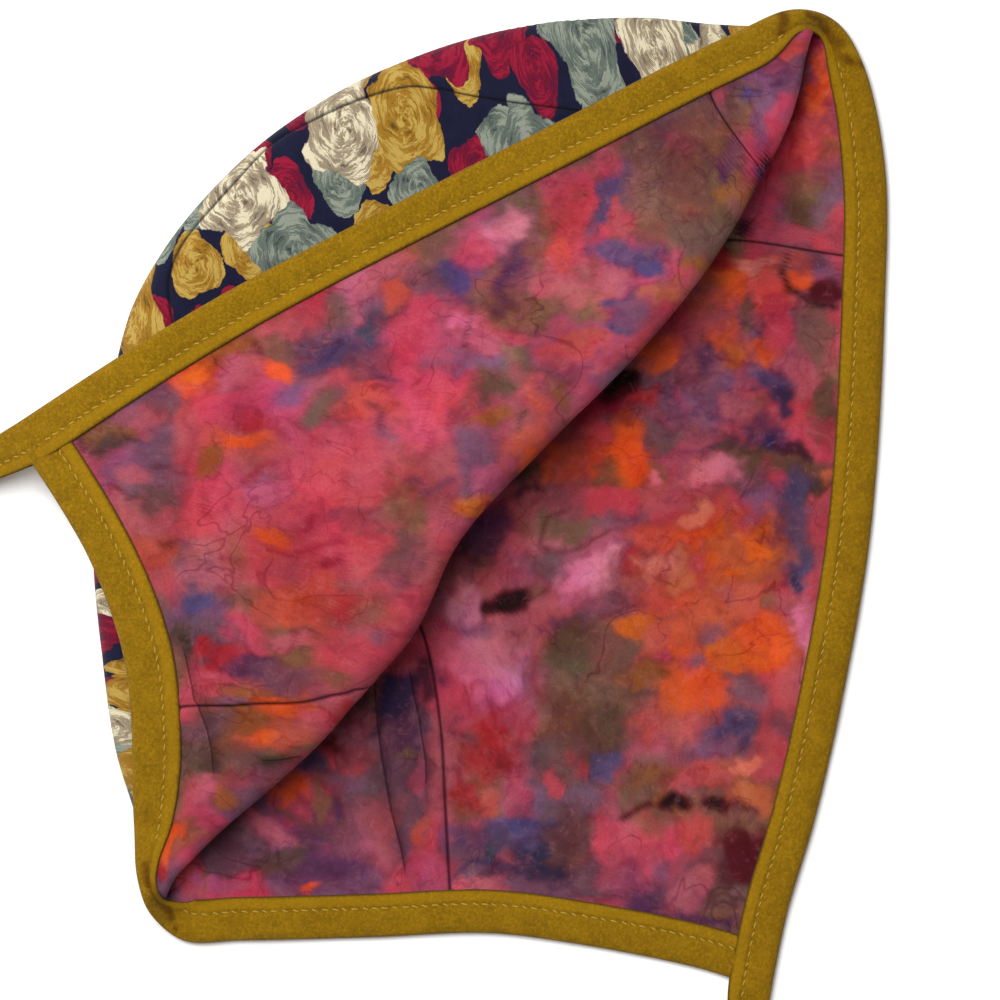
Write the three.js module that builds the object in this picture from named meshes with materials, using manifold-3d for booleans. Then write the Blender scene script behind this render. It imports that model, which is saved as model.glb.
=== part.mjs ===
// A small child's reversible bonnet of three panels, lying on its left side with the front
// corner of the right side folded back, so that the lining faces up.
//
// Sizes are millimetres. The cloth is one surface, worked out section by section: each section
// stands across the diagonal fold, which runs from the nape to the crown. From its first end a
// section runs over the folded-back flap, round the fold, back under the flap, round the dome
// of the crown and out over the layer that lies on the ground.
import * as THREE from 'three';
import Module from 'manifold-3d';

const wasm = await Module();
wasm.setup();

// Cloth and binding
const CLOTH = 1.0; // thickness of the outer cloth and of the lining
const PLAY = 0.3; // clearance between neighbouring pieces
const BINDING_WIDTH = 9.3;
const BINDING_WALL = 1.0;
const BINDING_BACK = 1.2; // thickness of the binding where it turns round the cloth's edge
const TIE_HALF = 1.5; // half the thickness of a tie at its end
const TIE_FADE = 12; // length over which the binding thins to the tie

// How closely a binding follows its edge
const STOP_LENGTH = 11;
const STOP_TURN = 0.22; // radians
const TIE_STEP = 3;

// Worked out from them
const STACK = CLOTH + PLAY / 2; // from the middle of the two cloths to a face
const SLOT_HALF = STACK + PLAY; // half the width of the slot that the cloths lie in
const BINDING_HALF = SLOT_HALF + BINDING_WALL;
const BINDING_OUT = -BINDING_BACK - PLAY; // from the cloth's edge to the binding's outer edge
const BINDING_IN = BINDING_WIDTH + BINDING_OUT; // from the cloth's edge to its inner edge

// Where the nape lies, and how the diagonal stands to the X axis
const NAPE = new THREE.Vector2(-51.04, -78.57);
const DIAGONAL = THREE.MathUtils.degToRad(53.02);

// How far the flap lies above the layer under it, middle to middle, next to its lip
const SHOULDER_RISE = 5;

// Height of the floor layer's middle, and how the binding lifts it along its edge
const FLOOR_Z = STACK;
const EDGE_LIFT = BINDING_HALF - STACK;
const LIFT_FULL = 9; // distance from the edge up to which the lift is whole
const LIFT_NONE = 17; // distance from the edge where the cloth lies on the ground

// One row for each section: along is its place on the diagonal. lip is where the flap ends, fold
// where the flap turns and dome where the crown turns, all measured across the diagonal; foldR
// and domeR are half the height of these turns, and lipZ is the height of the flap at its lip.
const SECTIONS = table(
  ['along', 'lip', 'lipZ', 'fold', 'foldR', 'dome', 'domeR'],
  [
    [-9, 2, 5.4, 3, 1.1, 7, 1.2],
    [2, -8, 8.9, -1, 1.9, 4, 2.4],
    [9, -14, 10.8, 0.5, 2.5, -13, 2.9],
    [18, -22, 12.4, 2, 2.9, -26.4, 3.5],
    [33, -36, 14.7, 4.2, 3.6, -41, 4.8],
    [46, -54, 15.0, 6.3, 4.2, -53.2, 5.8],
    [58, -84, 10.0, 7, 4.5, -62.5, 6.4],
    [76, -80, 14.4, 8.2, 4.6, -72.6, 6.9],
    [98, -72, 19.6, 4.0, 4.6, -81.5, 7.1],
    [125, -59, 19.8, 6.6, 4.6, -82.3, 7.1],
    [152, -46, 19.2, 10.3, 4.4, -76, 6.8],
    [175, -34.5, 17.6, 11.3, 4.0, -64.4, 6.0],
    [195, -25, 15.2, 8.2, 3.4, -48.9, 4.8],
    [210, -18, 12.8, 4.6, 2.8, -31.5, 3.6],
    [218, -14.5, 11.4, 2, 2.4, -16.6, 3.0],
    [225, -10, 9.6, -1, 1.9, 3, 2.4],
    [232, -5, 7.3, 0, 1.4, 5, 1.7],
    [240, 0, 5.4, 2, 1.1, 6, 1.3],
  ],
);

// Cut edges of the cloth, seen from above: the face edge from the left tie's corner over the
// crown to the right tie's corner, and the neck edge between the same corners by the nape
const FRONT_EDGE = table(['along', 'across'], [
  [59.5, -86.1],
  [86.2, -77.0],
  [132, -55],
  [177.8, -32.9],
  [218.6, -13.9],
  [230.1, -6.1],
  [233.7, 1.5],
  [230.6, 10.8],
  [215.6, 27.6],
  [191.2, 45.1],
  [150.9, 71.1],
  [117.6, 88.5],
  [94.2, 99.6],
  [75.5, 107.2],
  [61.0, 114.3],
]);
const NECK_EDGE = table(['along', 'across'], [
  [59.5, -86.1],
  [55.3, -72.8],
  [47.1, -53.6],
  [33.6, -34.6],
  [8.1, -13.5],
  [-1.0, -5.6],
  [-5.0, 0.6],
  [-5.6, 8.1],
  [1.7, 17.8],
  [19.9, 40.3],
  [35.0, 58.5],
  [44.9, 75.3],
  [56.6, 101.0],
  [61.0, 114.3],
]);

// The ties run on from the two corners: the left one drops to the ground, the right one lies on it
const LEFT_TIE = table(['along', 'across', 'height'], [
  [59.5, -86.1, 9.9],
  [53, -88.4, 7.0],
  [46.5, -90.8, 3.7],
  [40.2, -93.2, 1.5],
]);
const RIGHT_TIE = table(['along', 'across', 'height'], [
  [61.0, 114.3, BINDING_HALF],
  [57.0, 116.6, 2.1],
  [53.4, 118.8, 1.7],
  [50.4, 120.7, 1.5],
]);

// The seam of the right side: run is the distance along the section from the flap's edge to it
const RIGHT_SEAM = table(['along', 'run'], [
  [25.5, 0],
  [33.7, 13.4],
  [45, 41.3],
  [62, 100],
  [75, 135],
  [90, 150],
  [107.7, 160],
  [131.4, 155],
  [144.8, 150],
  [167.6, 128],
  [176.3, 108],
  [190, 72],
  [197.6, 38],
  [204.4, 12.4],
  [212, 0],
]);

// The seam of the left side, on the ground: across is measured as the cut edges are
const LEFT_SEAM = table(['along', 'across'], [
  [26.5, 56.7],
  [37.1, 47.4],
  [50, 36.5],
  [64.1, 24.4],
  [75.9, 11.5],
  [84, -2],
  [101.4, -19],
  [128.1, -25],
  [158.6, -13],
  [176, 3],
  [184.7, 13.0],
  [195.1, 32.1],
  [201.6, 44.0],
]);

// Stations where the cloth is cut into facets, and the places in each section between its ends
const STATIONS = [
  -5.55, -4.4, -1, 3.5, 8.1, 14, 22, 30, 38, 46, 54, 59.5, 61, 69, 79, 90, 105, 120, 135, 150, 162,
  173, 183, 192, 200, 207, 213, 219, 225, 230.1, 232.6, 233.65,
];
const FLAP_COLUMNS = [1.9, 3.3];
const FOLD_COLUMNS = [3.85, 4.2, 4.5, 4.8, 5.2];
const DOME_COLUMNS = [6.2, 7.5, 7.9, 8.2, 8.5, 8.8, 9.15, 9.8];
const SEAM_STEP = 5.5; // distance between the stops of a seam, and the most that it turns
const SEAM_TURN = 0.15;
const SEAM_TRACE = 0.05; // how closely a seam is traced along the diagonal
const SEAM_CUT = 1.9; // how far a seam's cut reaches to either side of the cloth's middle

// A table of rows with named columns
function table(names, rows) {
  return rows.map((row) => Object.fromEntries(names.map((name, i) => [name, row[i]])));
}

// A column of a table at any place along the diagonal, on a smooth curve through its rows
function column(rows, name, along) {
  const last = rows.length - 1;
  const x = THREE.MathUtils.clamp(along, rows[0].along, rows[last].along);
  let i = 0;
  while (i < last - 1 && x > rows[i + 1].along) i += 1;
  const slope = (k) => {
    const a = rows[Math.max(k - 1, 0)];
    const b = rows[Math.min(k + 1, last)];
    return (b[name] - a[name]) / (b.along - a.along);
  };
  const width = rows[i + 1].along - rows[i].along;
  const f = (x - rows[i].along) / width;
  const hermite = [
    (1 + 2 * f) * (1 - f) ** 2 * rows[i][name],
    f * (1 - f) ** 2 * width * slope(i),
    f * f * (3 - 2 * f) * rows[i + 1][name],
    f * f * (f - 1) * width * slope(i + 1),
  ];
  return hermite.reduce((sum, part) => sum + part, 0);
}

// A smooth curve through the rows of an edge, as evenly spaced points
function edgePoints(rows, step) {
  const points = rows.map((row) => new THREE.Vector3(row.along, row.across, row.height ?? 0));
  const curve = new THREE.CatmullRomCurve3(points, false, 'centripetal');
  curve.arcLengthDivisions = 600;
  return curve.getSpacedPoints(Math.round(curve.getLength() / step));
}

const frontLine = edgePoints(FRONT_EDGE, 1);
const neckLine = edgePoints(NECK_EDGE, 1);

// The part of an edge on the flap or on the ground, ordered along the diagonal
function half(line, onFlap) {
  const alongs = line.map((p) => p.x);
  const isFront = line === frontLine;
  const turn = alongs.indexOf(isFront ? Math.max(...alongs) : Math.min(...alongs));
  const part = onFlap ? line.slice(0, turn + 1) : line.slice(turn);
  return part.slice().sort((a, b) => a.x - b.x);
}

const halves = {
  flap: [half(neckLine, true), half(frontLine, true)],
  ground: [half(neckLine, false), half(frontLine, false)],
};

// Where the cut edge lies across the diagonal, on the flap or on the ground
function edgeAcross(sheet, along) {
  const [neck, front] = halves[sheet];
  const line = along < neck[neck.length - 1].x ? neck : front;
  let i = 0;
  while (i < line.length - 2 && along > line[i + 1].x) i += 1;
  const width = Math.max(line[i + 1].x - line[i].x, 1e-6);
  const f = THREE.MathUtils.clamp((along - line[i].x) / width, 0, 1);
  return THREE.MathUtils.lerp(line[i].y, line[i + 1].y, f);
}

// How far a point seen from above lies from the cut edge on the ground
function edgeDistance(along, across) {
  let best = Infinity;
  for (const line of halves.ground) {
    for (const p of line) best = Math.min(best, (p.x - along) ** 2 + (p.y - across) ** 2);
  }
  return Math.sqrt(best);
}

// Control points of a section, as x across the diagonal and y up
function controls(along) {
  const at = (name) => column(SECTIONS, name, along);
  const [lip, lipZ, fold, dome] = [at('lip'), at('lipZ'), at('fold'), at('dome')];
  const [foldR, domeR] = [at('foldR'), at('domeR')];
  const underZ = FLOOR_Z + 2 * domeR;
  const topZ = underZ + 2 * foldR;
  const inner = 0.45 * (fold - dome);
  const foldReach = Math.min(2.2 * foldR, inner);
  const domeReach = Math.min(2.2 * domeR, inner);
  const shoulder = Math.min(Math.max(lip, Math.min(dome, lip + 30)) + 9, (lip + fold) / 2);
  const end = edgeAcross('ground', along) + 14;
  const domeOut = Math.min(2.2 * domeR, 0.3 * (end - dome));
  const bulge = 0.1;
  return [
    [lip - 10, lipZ - 1.5],
    [lip + 1, lipZ],
    [shoulder, Math.min(underZ + SHOULDER_RISE, topZ)],
    [Math.max(fold - 2.2 * foldR, (shoulder + fold) / 2), topZ],
    [fold + bulge * foldR, topZ],
    [fold + bulge * foldR, underZ],
    [fold - foldReach, underZ],
    [dome + domeReach, underZ],
    [dome - bulge * domeR, underZ],
    [dome - bulge * domeR, FLOOR_Z],
    [dome + domeOut, FLOOR_Z],
    [(dome + domeOut + end) / 2, FLOOR_Z],
    [end, FLOOR_Z],
  ].map(([x, y]) => new THREE.Vector2(x, y));
}

// A point of the uniform cubic B-spline over the control points
function bspline(points, u) {
  const last = points.length - 1;
  const i = Math.min(Math.floor(u), last - 1);
  const f = u - i;
  const get = (k) => {
    if (k < 0) return points[0].clone().multiplyScalar(2).sub(points[1]);
    if (k > last) return points[last].clone().multiplyScalar(2).sub(points[last - 1]);
    return points[k];
  };
  const weights = [(1 - f) ** 3, 3 * f ** 3 - 6 * f * f + 4, 3 * (f + f * f - f ** 3) + 1, f ** 3];
  const sum = new THREE.Vector2();
  weights.forEach((w, k) => sum.addScaledVector(get(i - 1 + k), w / 6));
  return sum;
}

// The cloth's middle at a section's parameter, lifted by the binding along the ground's edge
function middle(along, u) {
  const p = bspline(controls(along), u);
  const near = 1 - THREE.MathUtils.smoothstep(edgeDistance(along, p.x), LIFT_FULL, LIFT_NONE);
  const low = 1 - THREE.MathUtils.smoothstep(p.y, FLOOR_Z + 1, FLOOR_Z + 7);
  return new THREE.Vector3(along, p.x, p.y + EDGE_LIFT * near * low);
}

// The same with the direction that the lining faces
function frameAt(along, u) {
  const d = 0.25;
  const du = 0.02;
  const alongs = middle(along + d, u).sub(middle(along - d, u));
  const acrosses = middle(along, u + du).sub(middle(along, u - du));
  return { point: middle(along, u), normal: alongs.cross(acrosses).normalize() };
}

// The section's parameter where it passes a place across the diagonal, on the flap or the ground
function parameterAt(sheet, along, across) {
  const points = controls(along);
  const steps = 240;
  const last = points.length - 1;
  const place = (k) => (sheet === 'flap' ? (k / steps) * last : last - (k / steps) * last);
  const sign = sheet === 'flap' ? 1 : -1;
  let before = bspline(points, place(0)).x;
  for (let k = 1; k <= steps; k += 1) {
    const x = bspline(points, place(k)).x;
    if (sign * (x - across) >= 0) {
      const f = (across - before) / (x - before || 1);
      return THREE.MathUtils.lerp(place(k - 1), place(k), THREE.MathUtils.clamp(f, 0, 1));
    }
    if (sign * (x - before) < 0) return place(k - 1);
    before = x;
  }
  return place(steps);
}

// The section's parameter at a distance along it from a start
function parameterAfter(along, start, run, sign) {
  const points = controls(along);
  const step = 0.02;
  let u = start;
  let left = run;
  let before = bspline(points, u);
  while (left > 0) {
    const next = bspline(points, u + sign * step);
    const length = next.distanceTo(before);
    if (length >= left) return u + (sign * step * left) / length;
    left -= length;
    u += sign * step;
    before = next;
  }
  return u;
}

// The section's parameter where it comes a given depth away from the edge on the ground
function parameterAtDepth(along, start, depth) {
  const points = controls(along);
  let u = start;
  const limit = DOME_COLUMNS[DOME_COLUMNS.length - 1];
  while (u > limit && edgeDistance(along, bspline(points, u).x) < depth) u -= 0.02;
  return Math.max(u, limit);
}

// How much wider than square a slanting edge meets a section
function slant(sheet, along) {
  const slope = edgeAcross(sheet, along + 0.5) - edgeAcross(sheet, along - 0.5);
  return Math.min(Math.hypot(1, slope), 3);
}

// A closed solid from a sheet of triangles, between two distances from its middle
function thicken(frames, triangles, low, high) {
  const count = frames.length;
  const positions = [];
  for (const offset of [high, low]) {
    for (const { point, normal } of frames) {
      positions.push(point.clone().addScaledVector(normal, offset));
    }
  }
  const faces = [];
  const edges = new Map();
  for (const [a, b, c] of triangles) {
    faces.push([a, b, c], [c + count, b + count, a + count]);
    for (const [p, q] of [[a, b], [b, c], [c, a]]) edges.set(`${p},${q}`, [p, q]);
  }
  for (const [p, q] of edges.values()) {
    if (edges.has(`${q},${p}`)) continue;
    faces.push([q, p, p + count], [q, p + count, q + count]);
  }
  return { positions, faces };
}

// The whole cloth as frames and triangles, its edges moved out by a given distance
function wholeSheet(grow) {
  const frames = [];
  const rows = STATIONS.map((station, i) => {
    const end = i === 0 ? -grow : grow * Number(i === STATIONS.length - 1);
    const along = station + end;
    const flapEdge = parameterAt('flap', along, edgeAcross('flap', along));
    const groundEdge = parameterAt('ground', along, edgeAcross('ground', along));
    const low = parameterAfter(along, flapEdge, grow * slant('flap', along), -1);
    const high = parameterAfter(along, groundEdge, grow * slant('ground', along), 1);
    const nearEdge = parameterAtDepth(along, groundEdge, LIFT_FULL + 0.5);
    const farEdge = parameterAtDepth(along, groundEdge, LIFT_NONE);
    const inner = [...FLAP_COLUMNS, ...FOLD_COLUMNS, ...DOME_COLUMNS, farEdge, nearEdge];
    const columns = [low, ...inner.map((u) => THREE.MathUtils.clamp(u, low, high)), high];
    const seen = new Map();
    return columns.map((u) => {
      const key = u.toFixed(2);
      if (!seen.has(key)) {
        seen.set(key, frames.length);
        frames.push(frameAt(along, u));
      }
      return seen.get(key);
    });
  });
  const triangles = [];
  const add = (a, b, c) => {
    if (a !== b && b !== c && a !== c) triangles.push([a, b, c]);
  };
  for (let i = 0; i + 1 < rows.length; i += 1) {
    for (let j = 0; j + 1 < rows[i].length; j += 1) {
      add(rows[i][j], rows[i + 1][j + 1], rows[i][j + 1]);
      add(rows[i][j], rows[i + 1][j], rows[i + 1][j + 1]);
    }
  }
  return { frames, triangles };
}

// From the diagonal's own directions to the part's frame
function toPart(p) {
  const [c, s] = [Math.cos(DIAGONAL), Math.sin(DIAGONAL)];
  return new THREE.Vector3(NAPE.x + p.x * c + p.y * s, NAPE.y + p.x * s - p.y * c, p.z);
}

// A point of a sheet seen from above, with the direction that the lining faces
function sheetFrame(sheet, along, across) {
  return frameAt(along, parameterAt(sheet, along, across));
}

// The way along a line of points at one of them
function wayAt(line, i) {
  const before = line[Math.max(i - 1, 0)];
  const after = line[Math.min(i + 1, line.length - 1)];
  return after.clone().sub(before).normalize();
}

// Frames across a strip at one point of a cut edge, at the given distances inward
function sheetRow(line, i, inwardSign, insets) {
  const way = wayAt(line, i);
  const turn = line === frontLine ? Math.max(...line.map((p) => p.x)) : Math.min(...line.map((p) => p.x));
  const sheet = i <= line.findIndex((p) => p.x === turn) ? 'flap' : 'ground';
  return insets.map((inset) => {
    const along = line[i].x - way.y * inwardSign * inset;
    const across = line[i].y + way.x * inwardSign * inset;
    return sheetFrame(sheet, along, across);
  });
}

// Frames across a tie, which leaves the cloth and lies down on the ground
function tieRow(line, i, insets, side) {
  const way = wayAt(line, i).multiplyScalar(side);
  const inward = new THREE.Vector3(-way.y, way.x, 0).normalize();
  const normal = way.clone().cross(inward).normalize();
  return insets.map((inset) => ({
    point: line[i].clone().addScaledVector(inward, inset),
    normal,
  }));
}

// A closed strip from its rows of frames; halves holds half its thickness at each row
function stripSolid(rows, halfAt) {
  const frames = rows.flat();
  const width = rows[0].length;
  const triangles = [];
  for (let i = 0; i + 1 < rows.length; i += 1) {
    for (let j = 0; j + 1 < width; j += 1) {
      const a = i * width + j;
      triangles.push([a, a + width, a + width + 1], [a, a + width + 1, a + 1]);
    }
  }
  const { positions, faces } = thicken(frames, triangles, -1, 1);
  const solidPositions = positions.map((p, k) => {
    const { point } = frames[k % frames.length];
    const half = halfAt[Math.floor((k % frames.length) / width)];
    return point.clone().addScaledVector(p.clone().sub(point), half);
  });
  return manifoldOf({ positions: solidPositions, faces });
}

function manifoldOf({ positions, faces }) {
  const flat = positions.flatMap((p) => toPart(p).toArray());
  const mesh = new wasm.Mesh({
    numProp: 3,
    vertProperties: new Float32Array(flat),
    triVerts: new Uint32Array(faces.flatMap(([a, b, c]) => [a, c, b])),
  });
  return new wasm.Manifold(mesh);
}

function geometryFrom(solid) {
  const mesh = solid.getMesh();
  const geometry = new THREE.BufferGeometry();
  const positions = Float32Array.from(mesh.vertProperties);
  geometry.setAttribute('position', new THREE.BufferAttribute(positions, 3));
  geometry.setIndex(Array.from(mesh.triVerts));
  return geometry;
}

// Every so many points of a line, closer where it bends, with its last point
function stopsOf(line, from, to) {
  const kept = [];
  let turned = 0;
  let passed = 0;
  for (let i = from; i <= to; i += 1) {
    if (i > from) {
      turned += wayAt(line, i).angleTo(wayAt(line, i - 1));
      passed += line[i].distanceTo(line[i - 1]);
    }
    if (i === from || i === to || passed > STOP_LENGTH || turned > STOP_TURN) {
      kept.push(i);
      [turned, passed] = [0, 0];
    }
  }
  return kept;
}

const STRIP_INSETS = [BINDING_OUT, BINDING_IN / 2, BINDING_IN];

const cloth = wholeSheet(0);
const grown = wholeSheet(PLAY);
const slot = manifoldOf(thicken(grown.frames, grown.triangles, -SLOT_HALF, SLOT_HALF));

function frontBinding() {
  const kept = stopsOf(frontLine, 0, frontLine.length - 1);
  const rows = kept.map((i) => sheetRow(frontLine, i, 1, STRIP_INSETS));
  const leftLine = edgePoints(LEFT_TIE, TIE_STEP);
  const rightLine = edgePoints(RIGHT_TIE, TIE_STEP);
  const left = leftLine.map((_, i) => tieRow(leftLine, i, STRIP_INSETS, -1)).slice(2).reverse();
  const right = rightLine.map((_, i) => tieRow(rightLine, i, STRIP_INSETS, 1)).slice(2);
  const thin = (i) => {
    const faded = Math.min(1, (i * TIE_STEP) / TIE_FADE);
    return THREE.MathUtils.lerp(BINDING_HALF, TIE_HALF, faded);
  };
  const halfAt = [
    ...left.map((_, i) => thin(left.length + 1 - i)),
    ...rows.map(() => BINDING_HALF),
    ...right.map((_, i) => thin(i + 2)),
  ];
  return bindingGeometry(stripSolid([...left, ...rows, ...right], halfAt));
}

function neckBinding() {
  const from = Math.ceil(BINDING_IN + PLAY);
  const to = neckLine.length - 1 - Math.ceil(BINDING_IN + PLAY + 1);
  const rows = stopsOf(neckLine, from, to).map((i) => (
    sheetRow(neckLine, i, -1, STRIP_INSETS).reverse()
  ));
  return bindingGeometry(stripSolid(rows, rows.map(() => BINDING_HALF)));
}

// A strip with the slot cut in it that the cloth's edge lies in, and flat where it meets the ground
function bindingGeometry(strip) {
  const bodies = strip.subtract(slot).trimByPlane([0, 0, 1], 0).decompose();
  return geometryFrom(bodies.reduce((a, b) => (b.volume() > a.volume() ? b : a)));
}

// The stops of a seam, from its parameter at each place along the diagonal
function seamStops(first, end, parameter) {
  const kept = [];
  for (let along = first; along <= end; along += SEAM_TRACE) {
    const next = frameAt(along, parameter(along));
    const before = kept[kept.length - 1] ?? next;
    const far = before.point.distanceTo(next.point) > SEAM_STEP;
    const turned = before.normal.angleTo(next.normal) > SEAM_TURN;
    if (!kept.length || far || turned || along + SEAM_TRACE > end) kept.push(next);
  }
  return kept;
}

// The thin wall that parts two panels: it follows a seam and stands across the cloth
function seamCut(kept) {
  const rows = kept.map(({ point, normal }, k) => {
    const before = kept[Math.max(k - 1, 0)].point;
    const after = kept[Math.min(k + 1, kept.length - 1)].point;
    const side = after.clone().sub(before).cross(normal).normalize();
    return [PLAY / 2, -PLAY / 2].map((d) => ({
      point: point.clone().addScaledVector(side, d),
      normal,
    }));
  });
  return stripSolid(rows, rows.map(() => SEAM_CUT));
}

// Past its ends a seam's cut runs out over the cloth's edge
function rightSeamParameter(along) {
  const [first, last] = [RIGHT_SEAM[0].along, RIGHT_SEAM[RIGHT_SEAM.length - 1].along];
  const over = Math.max(first - along, along - last, 0);
  const run = over > 0 ? -2 * over : column(RIGHT_SEAM, 'run', along);
  const edge = parameterAt('flap', along, edgeAcross('flap', along));
  return parameterAfter(along, edge, Math.abs(run), Math.sign(run));
}

function leftSeamParameter(along) {
  return parameterAt('ground', along, column(LEFT_SEAM, 'across', along));
}

function seamEnds(rows, reach) {
  return [rows[0].along - reach, rows[rows.length - 1].along + reach];
}

const cuts = [
  seamCut(seamStops(...seamEnds(RIGHT_SEAM, 1.5), rightSeamParameter)),
  seamCut(seamStops(...seamEnds(LEFT_SEAM, 0), leftSeamParameter)),
];

// The three panels of the outer cloth or of the lining, by how high they lie
function panels(isLining) {
  const low = isLining ? PLAY / 2 : -PLAY / 2 - CLOTH;
  const whole = manifoldOf(thicken(cloth.frames, cloth.triangles, low, low + CLOTH));
  const pieces = cuts.reduce((solid, cut) => solid.subtract(cut), whole).decompose();
  const byVolume = pieces.sort((a, b) => b.volume() - a.volume()).slice(0, 3);
  const height = (piece) => piece.boundingBox().min[2] + piece.boundingBox().max[2];
  const extent = (piece) => piece.boundingBox().max[2] - piece.boundingBox().min[2];
  const centre = byVolume.reduce((a, b) => (extent(b) > extent(a) ? b : a));
  const [left, right] = byVolume.filter((p) => p !== centre).sort((a, b) => height(a) - height(b));
  return { left_side: left, centre_panel: centre, right_side: right };
}

function fabric(colour, roughness) {
  return new THREE.MeshStandardMaterial({ color: colour, roughness, metalness: 0 });
}

const materials = {
  outer: fabric(0x1c1d2b, 0.85),
  lining: fabric(0xb5566a, 0.85),
  binding: fabric(0x99761c, 0.9),
};

const group = new THREE.Group();

function place(name, geometry, material) {
  const mesh = new THREE.Mesh(geometry, material);
  mesh.name = name;
  group.add(mesh);
}

for (const layer of ['outer', 'lining']) {
  for (const [name, solid] of Object.entries(panels(layer === 'lining'))) {
    place(`${layer}_${name}`, geometryFrom(solid), materials[layer]);
  }
}
place('front_binding', frontBinding(), materials.binding);
place('neck_binding', neckBinding(), materials.binding);

export default group;
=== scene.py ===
"""A toddler bonnet, lying folded on a pale floor: its cloths, bindings, stitches and stage."""

import math

import bpy
import numpy as np
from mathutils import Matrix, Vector


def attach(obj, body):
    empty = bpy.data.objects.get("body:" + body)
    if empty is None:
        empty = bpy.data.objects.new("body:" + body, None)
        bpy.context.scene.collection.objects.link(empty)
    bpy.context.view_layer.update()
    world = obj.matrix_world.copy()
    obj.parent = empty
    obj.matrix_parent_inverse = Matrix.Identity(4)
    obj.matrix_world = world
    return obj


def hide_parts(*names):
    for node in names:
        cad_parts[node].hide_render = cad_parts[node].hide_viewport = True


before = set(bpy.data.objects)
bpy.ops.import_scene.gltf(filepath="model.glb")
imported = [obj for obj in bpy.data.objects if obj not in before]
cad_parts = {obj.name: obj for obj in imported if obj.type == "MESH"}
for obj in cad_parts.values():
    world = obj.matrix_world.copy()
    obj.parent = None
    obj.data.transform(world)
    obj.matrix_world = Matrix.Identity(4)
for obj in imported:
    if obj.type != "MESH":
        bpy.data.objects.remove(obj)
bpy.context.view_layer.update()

bl_info = {
    "name": "Folded bonnet",
    "version": (1, 0, 0),
    "blender": (4, 5, 0),
    "location": "3D View > Sidebar > Bonnet",
    "description": "Makes a folded two-layer cotton bonnet with its bindings, stitches and stage",
    "category": "Add Mesh",
}

MM = 0.001

# The view: pixels of the frame, millimetres of the object to a pixel, and the part's place in it
VIEW_PIXELS = 1000
PIXEL_MM = 0.215
VIEW_CENTRE = (19.91, 5.28)

# The diagonal that the bonnet is folded along: where it starts, at the nape, and its direction
NAPE = (-51.04, -78.57)
DIAGONAL = math.radians(53.02)

# Heights and distances in the lying cloth, in millimetres
GAP = 0.05
FLOOR_Z = 0.72
SHOULDER_RISE = 4.6
BINDING_HALF = 1.42
EDGE_CLEARANCE = 0.03
EDGE_LIFT = BINDING_HALF + EDGE_CLEARANCE - FLOOR_Z
LIFT_FULL = 9.0
LIFT_NONE = 17.0
BINDING_OUT = -1.5
BINDING_IN = 7.8
STITCH_LINE = 4.75

# Sections of the cloth across the diagonal fold: where each stands along the diagonal, where the
# flap ends (lip), where it turns (fold) and where the crown turns (dome), with their heights
SECTIONS = {
    "along": [-9, 2, 9, 18, 33, 46, 58, 76, 98, 125, 152, 175, 195, 210, 218, 225, 232, 240],
    "lip": [2, -8, -14, -22, -36, -54, -84, -80, -72, -59, -46, -34.5, -25, -18, -14.5, -10, -5, 0],
    "lip_z": [5.4, 8.9, 10.8, 12.4, 14.7, 15.0, 10.0, 14.4, 19.6, 19.8, 19.2, 17.6, 15.2, 12.8,
              11.4, 9.6, 7.3, 5.4],
    "fold": [2, -1.2, -0.7, 0.7, 4.0, 6.3, 7, 8.2, 4.0, 6.6, 10.3, 11.3, 9.4, 6.8, 4.1, 0.7, -1.4,
             0],
    "fold_r": [1.1, 1.9, 2.5, 2.9, 3.6, 4.2, 4.5, 4.6, 4.6, 4.6, 4.4, 4.0, 3.4, 2.8, 2.4, 1.9,
               1.4, 1.1],
    "dome": [0, -5, -15, -27.3, -42.2, -54.0, -62.8, -72.6, -81.5, -82.3, -76, -64.4, -48.9, -31.5,
             -18.6, -9, -4, -2],
    "dome_r": [1.2, 2.4, 2.9, 3.5, 4.8, 5.8, 6.4, 6.9, 7.1, 7.1, 6.8, 6.0, 4.8, 3.6, 3.0, 2.4,
               1.7, 1.3],
}

# Cut edges of the cloth seen from above, as (along, across), from the left tie to the right one
FRONT_EDGE = [
    (59.2, -85.2), (85.6, -75.4), (109, -65.8), (132, -55), (177.8, -32.6), (218.4, -12.8),
    (230.1, -5.9), (233.7, 1.5), (230.6, 10.8), (215.9, 28.0), (191.9, 46.0), (151.9, 72.4),
    (118.5, 89.7), (94.7, 100.3), (75.7, 107.4), (61.0, 114.3),
]
NECK_EDGE = [
    (59.2, -85.2), (55.3, -72.8), (47.1, -53.6), (33.6, -34.6), (8.1, -13.5), (-1.0, -5.6),
    (-5.0, 0.6), (-5.6, 8.1), (1.7, 17.8), (19.7, 40.5), (34.6, 58.8), (44.4, 75.6),
    (56.6, 101.0), (61.0, 114.3),
]

# The ties run on from the corners, as (along, across, height)
LEFT_TIE = [(59.2, -85.2, 9.9), (53.2, -88.1, 7.0), (47.0, -91.3, 3.7), (41.0, -94.1, 1.5)]
RIGHT_TIE = [(61.0, 114.3, 1.5), (57.0, 116.6, 1.45), (53.4, 118.8, 1.3), (50.4, 120.7, 1.2)]

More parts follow.
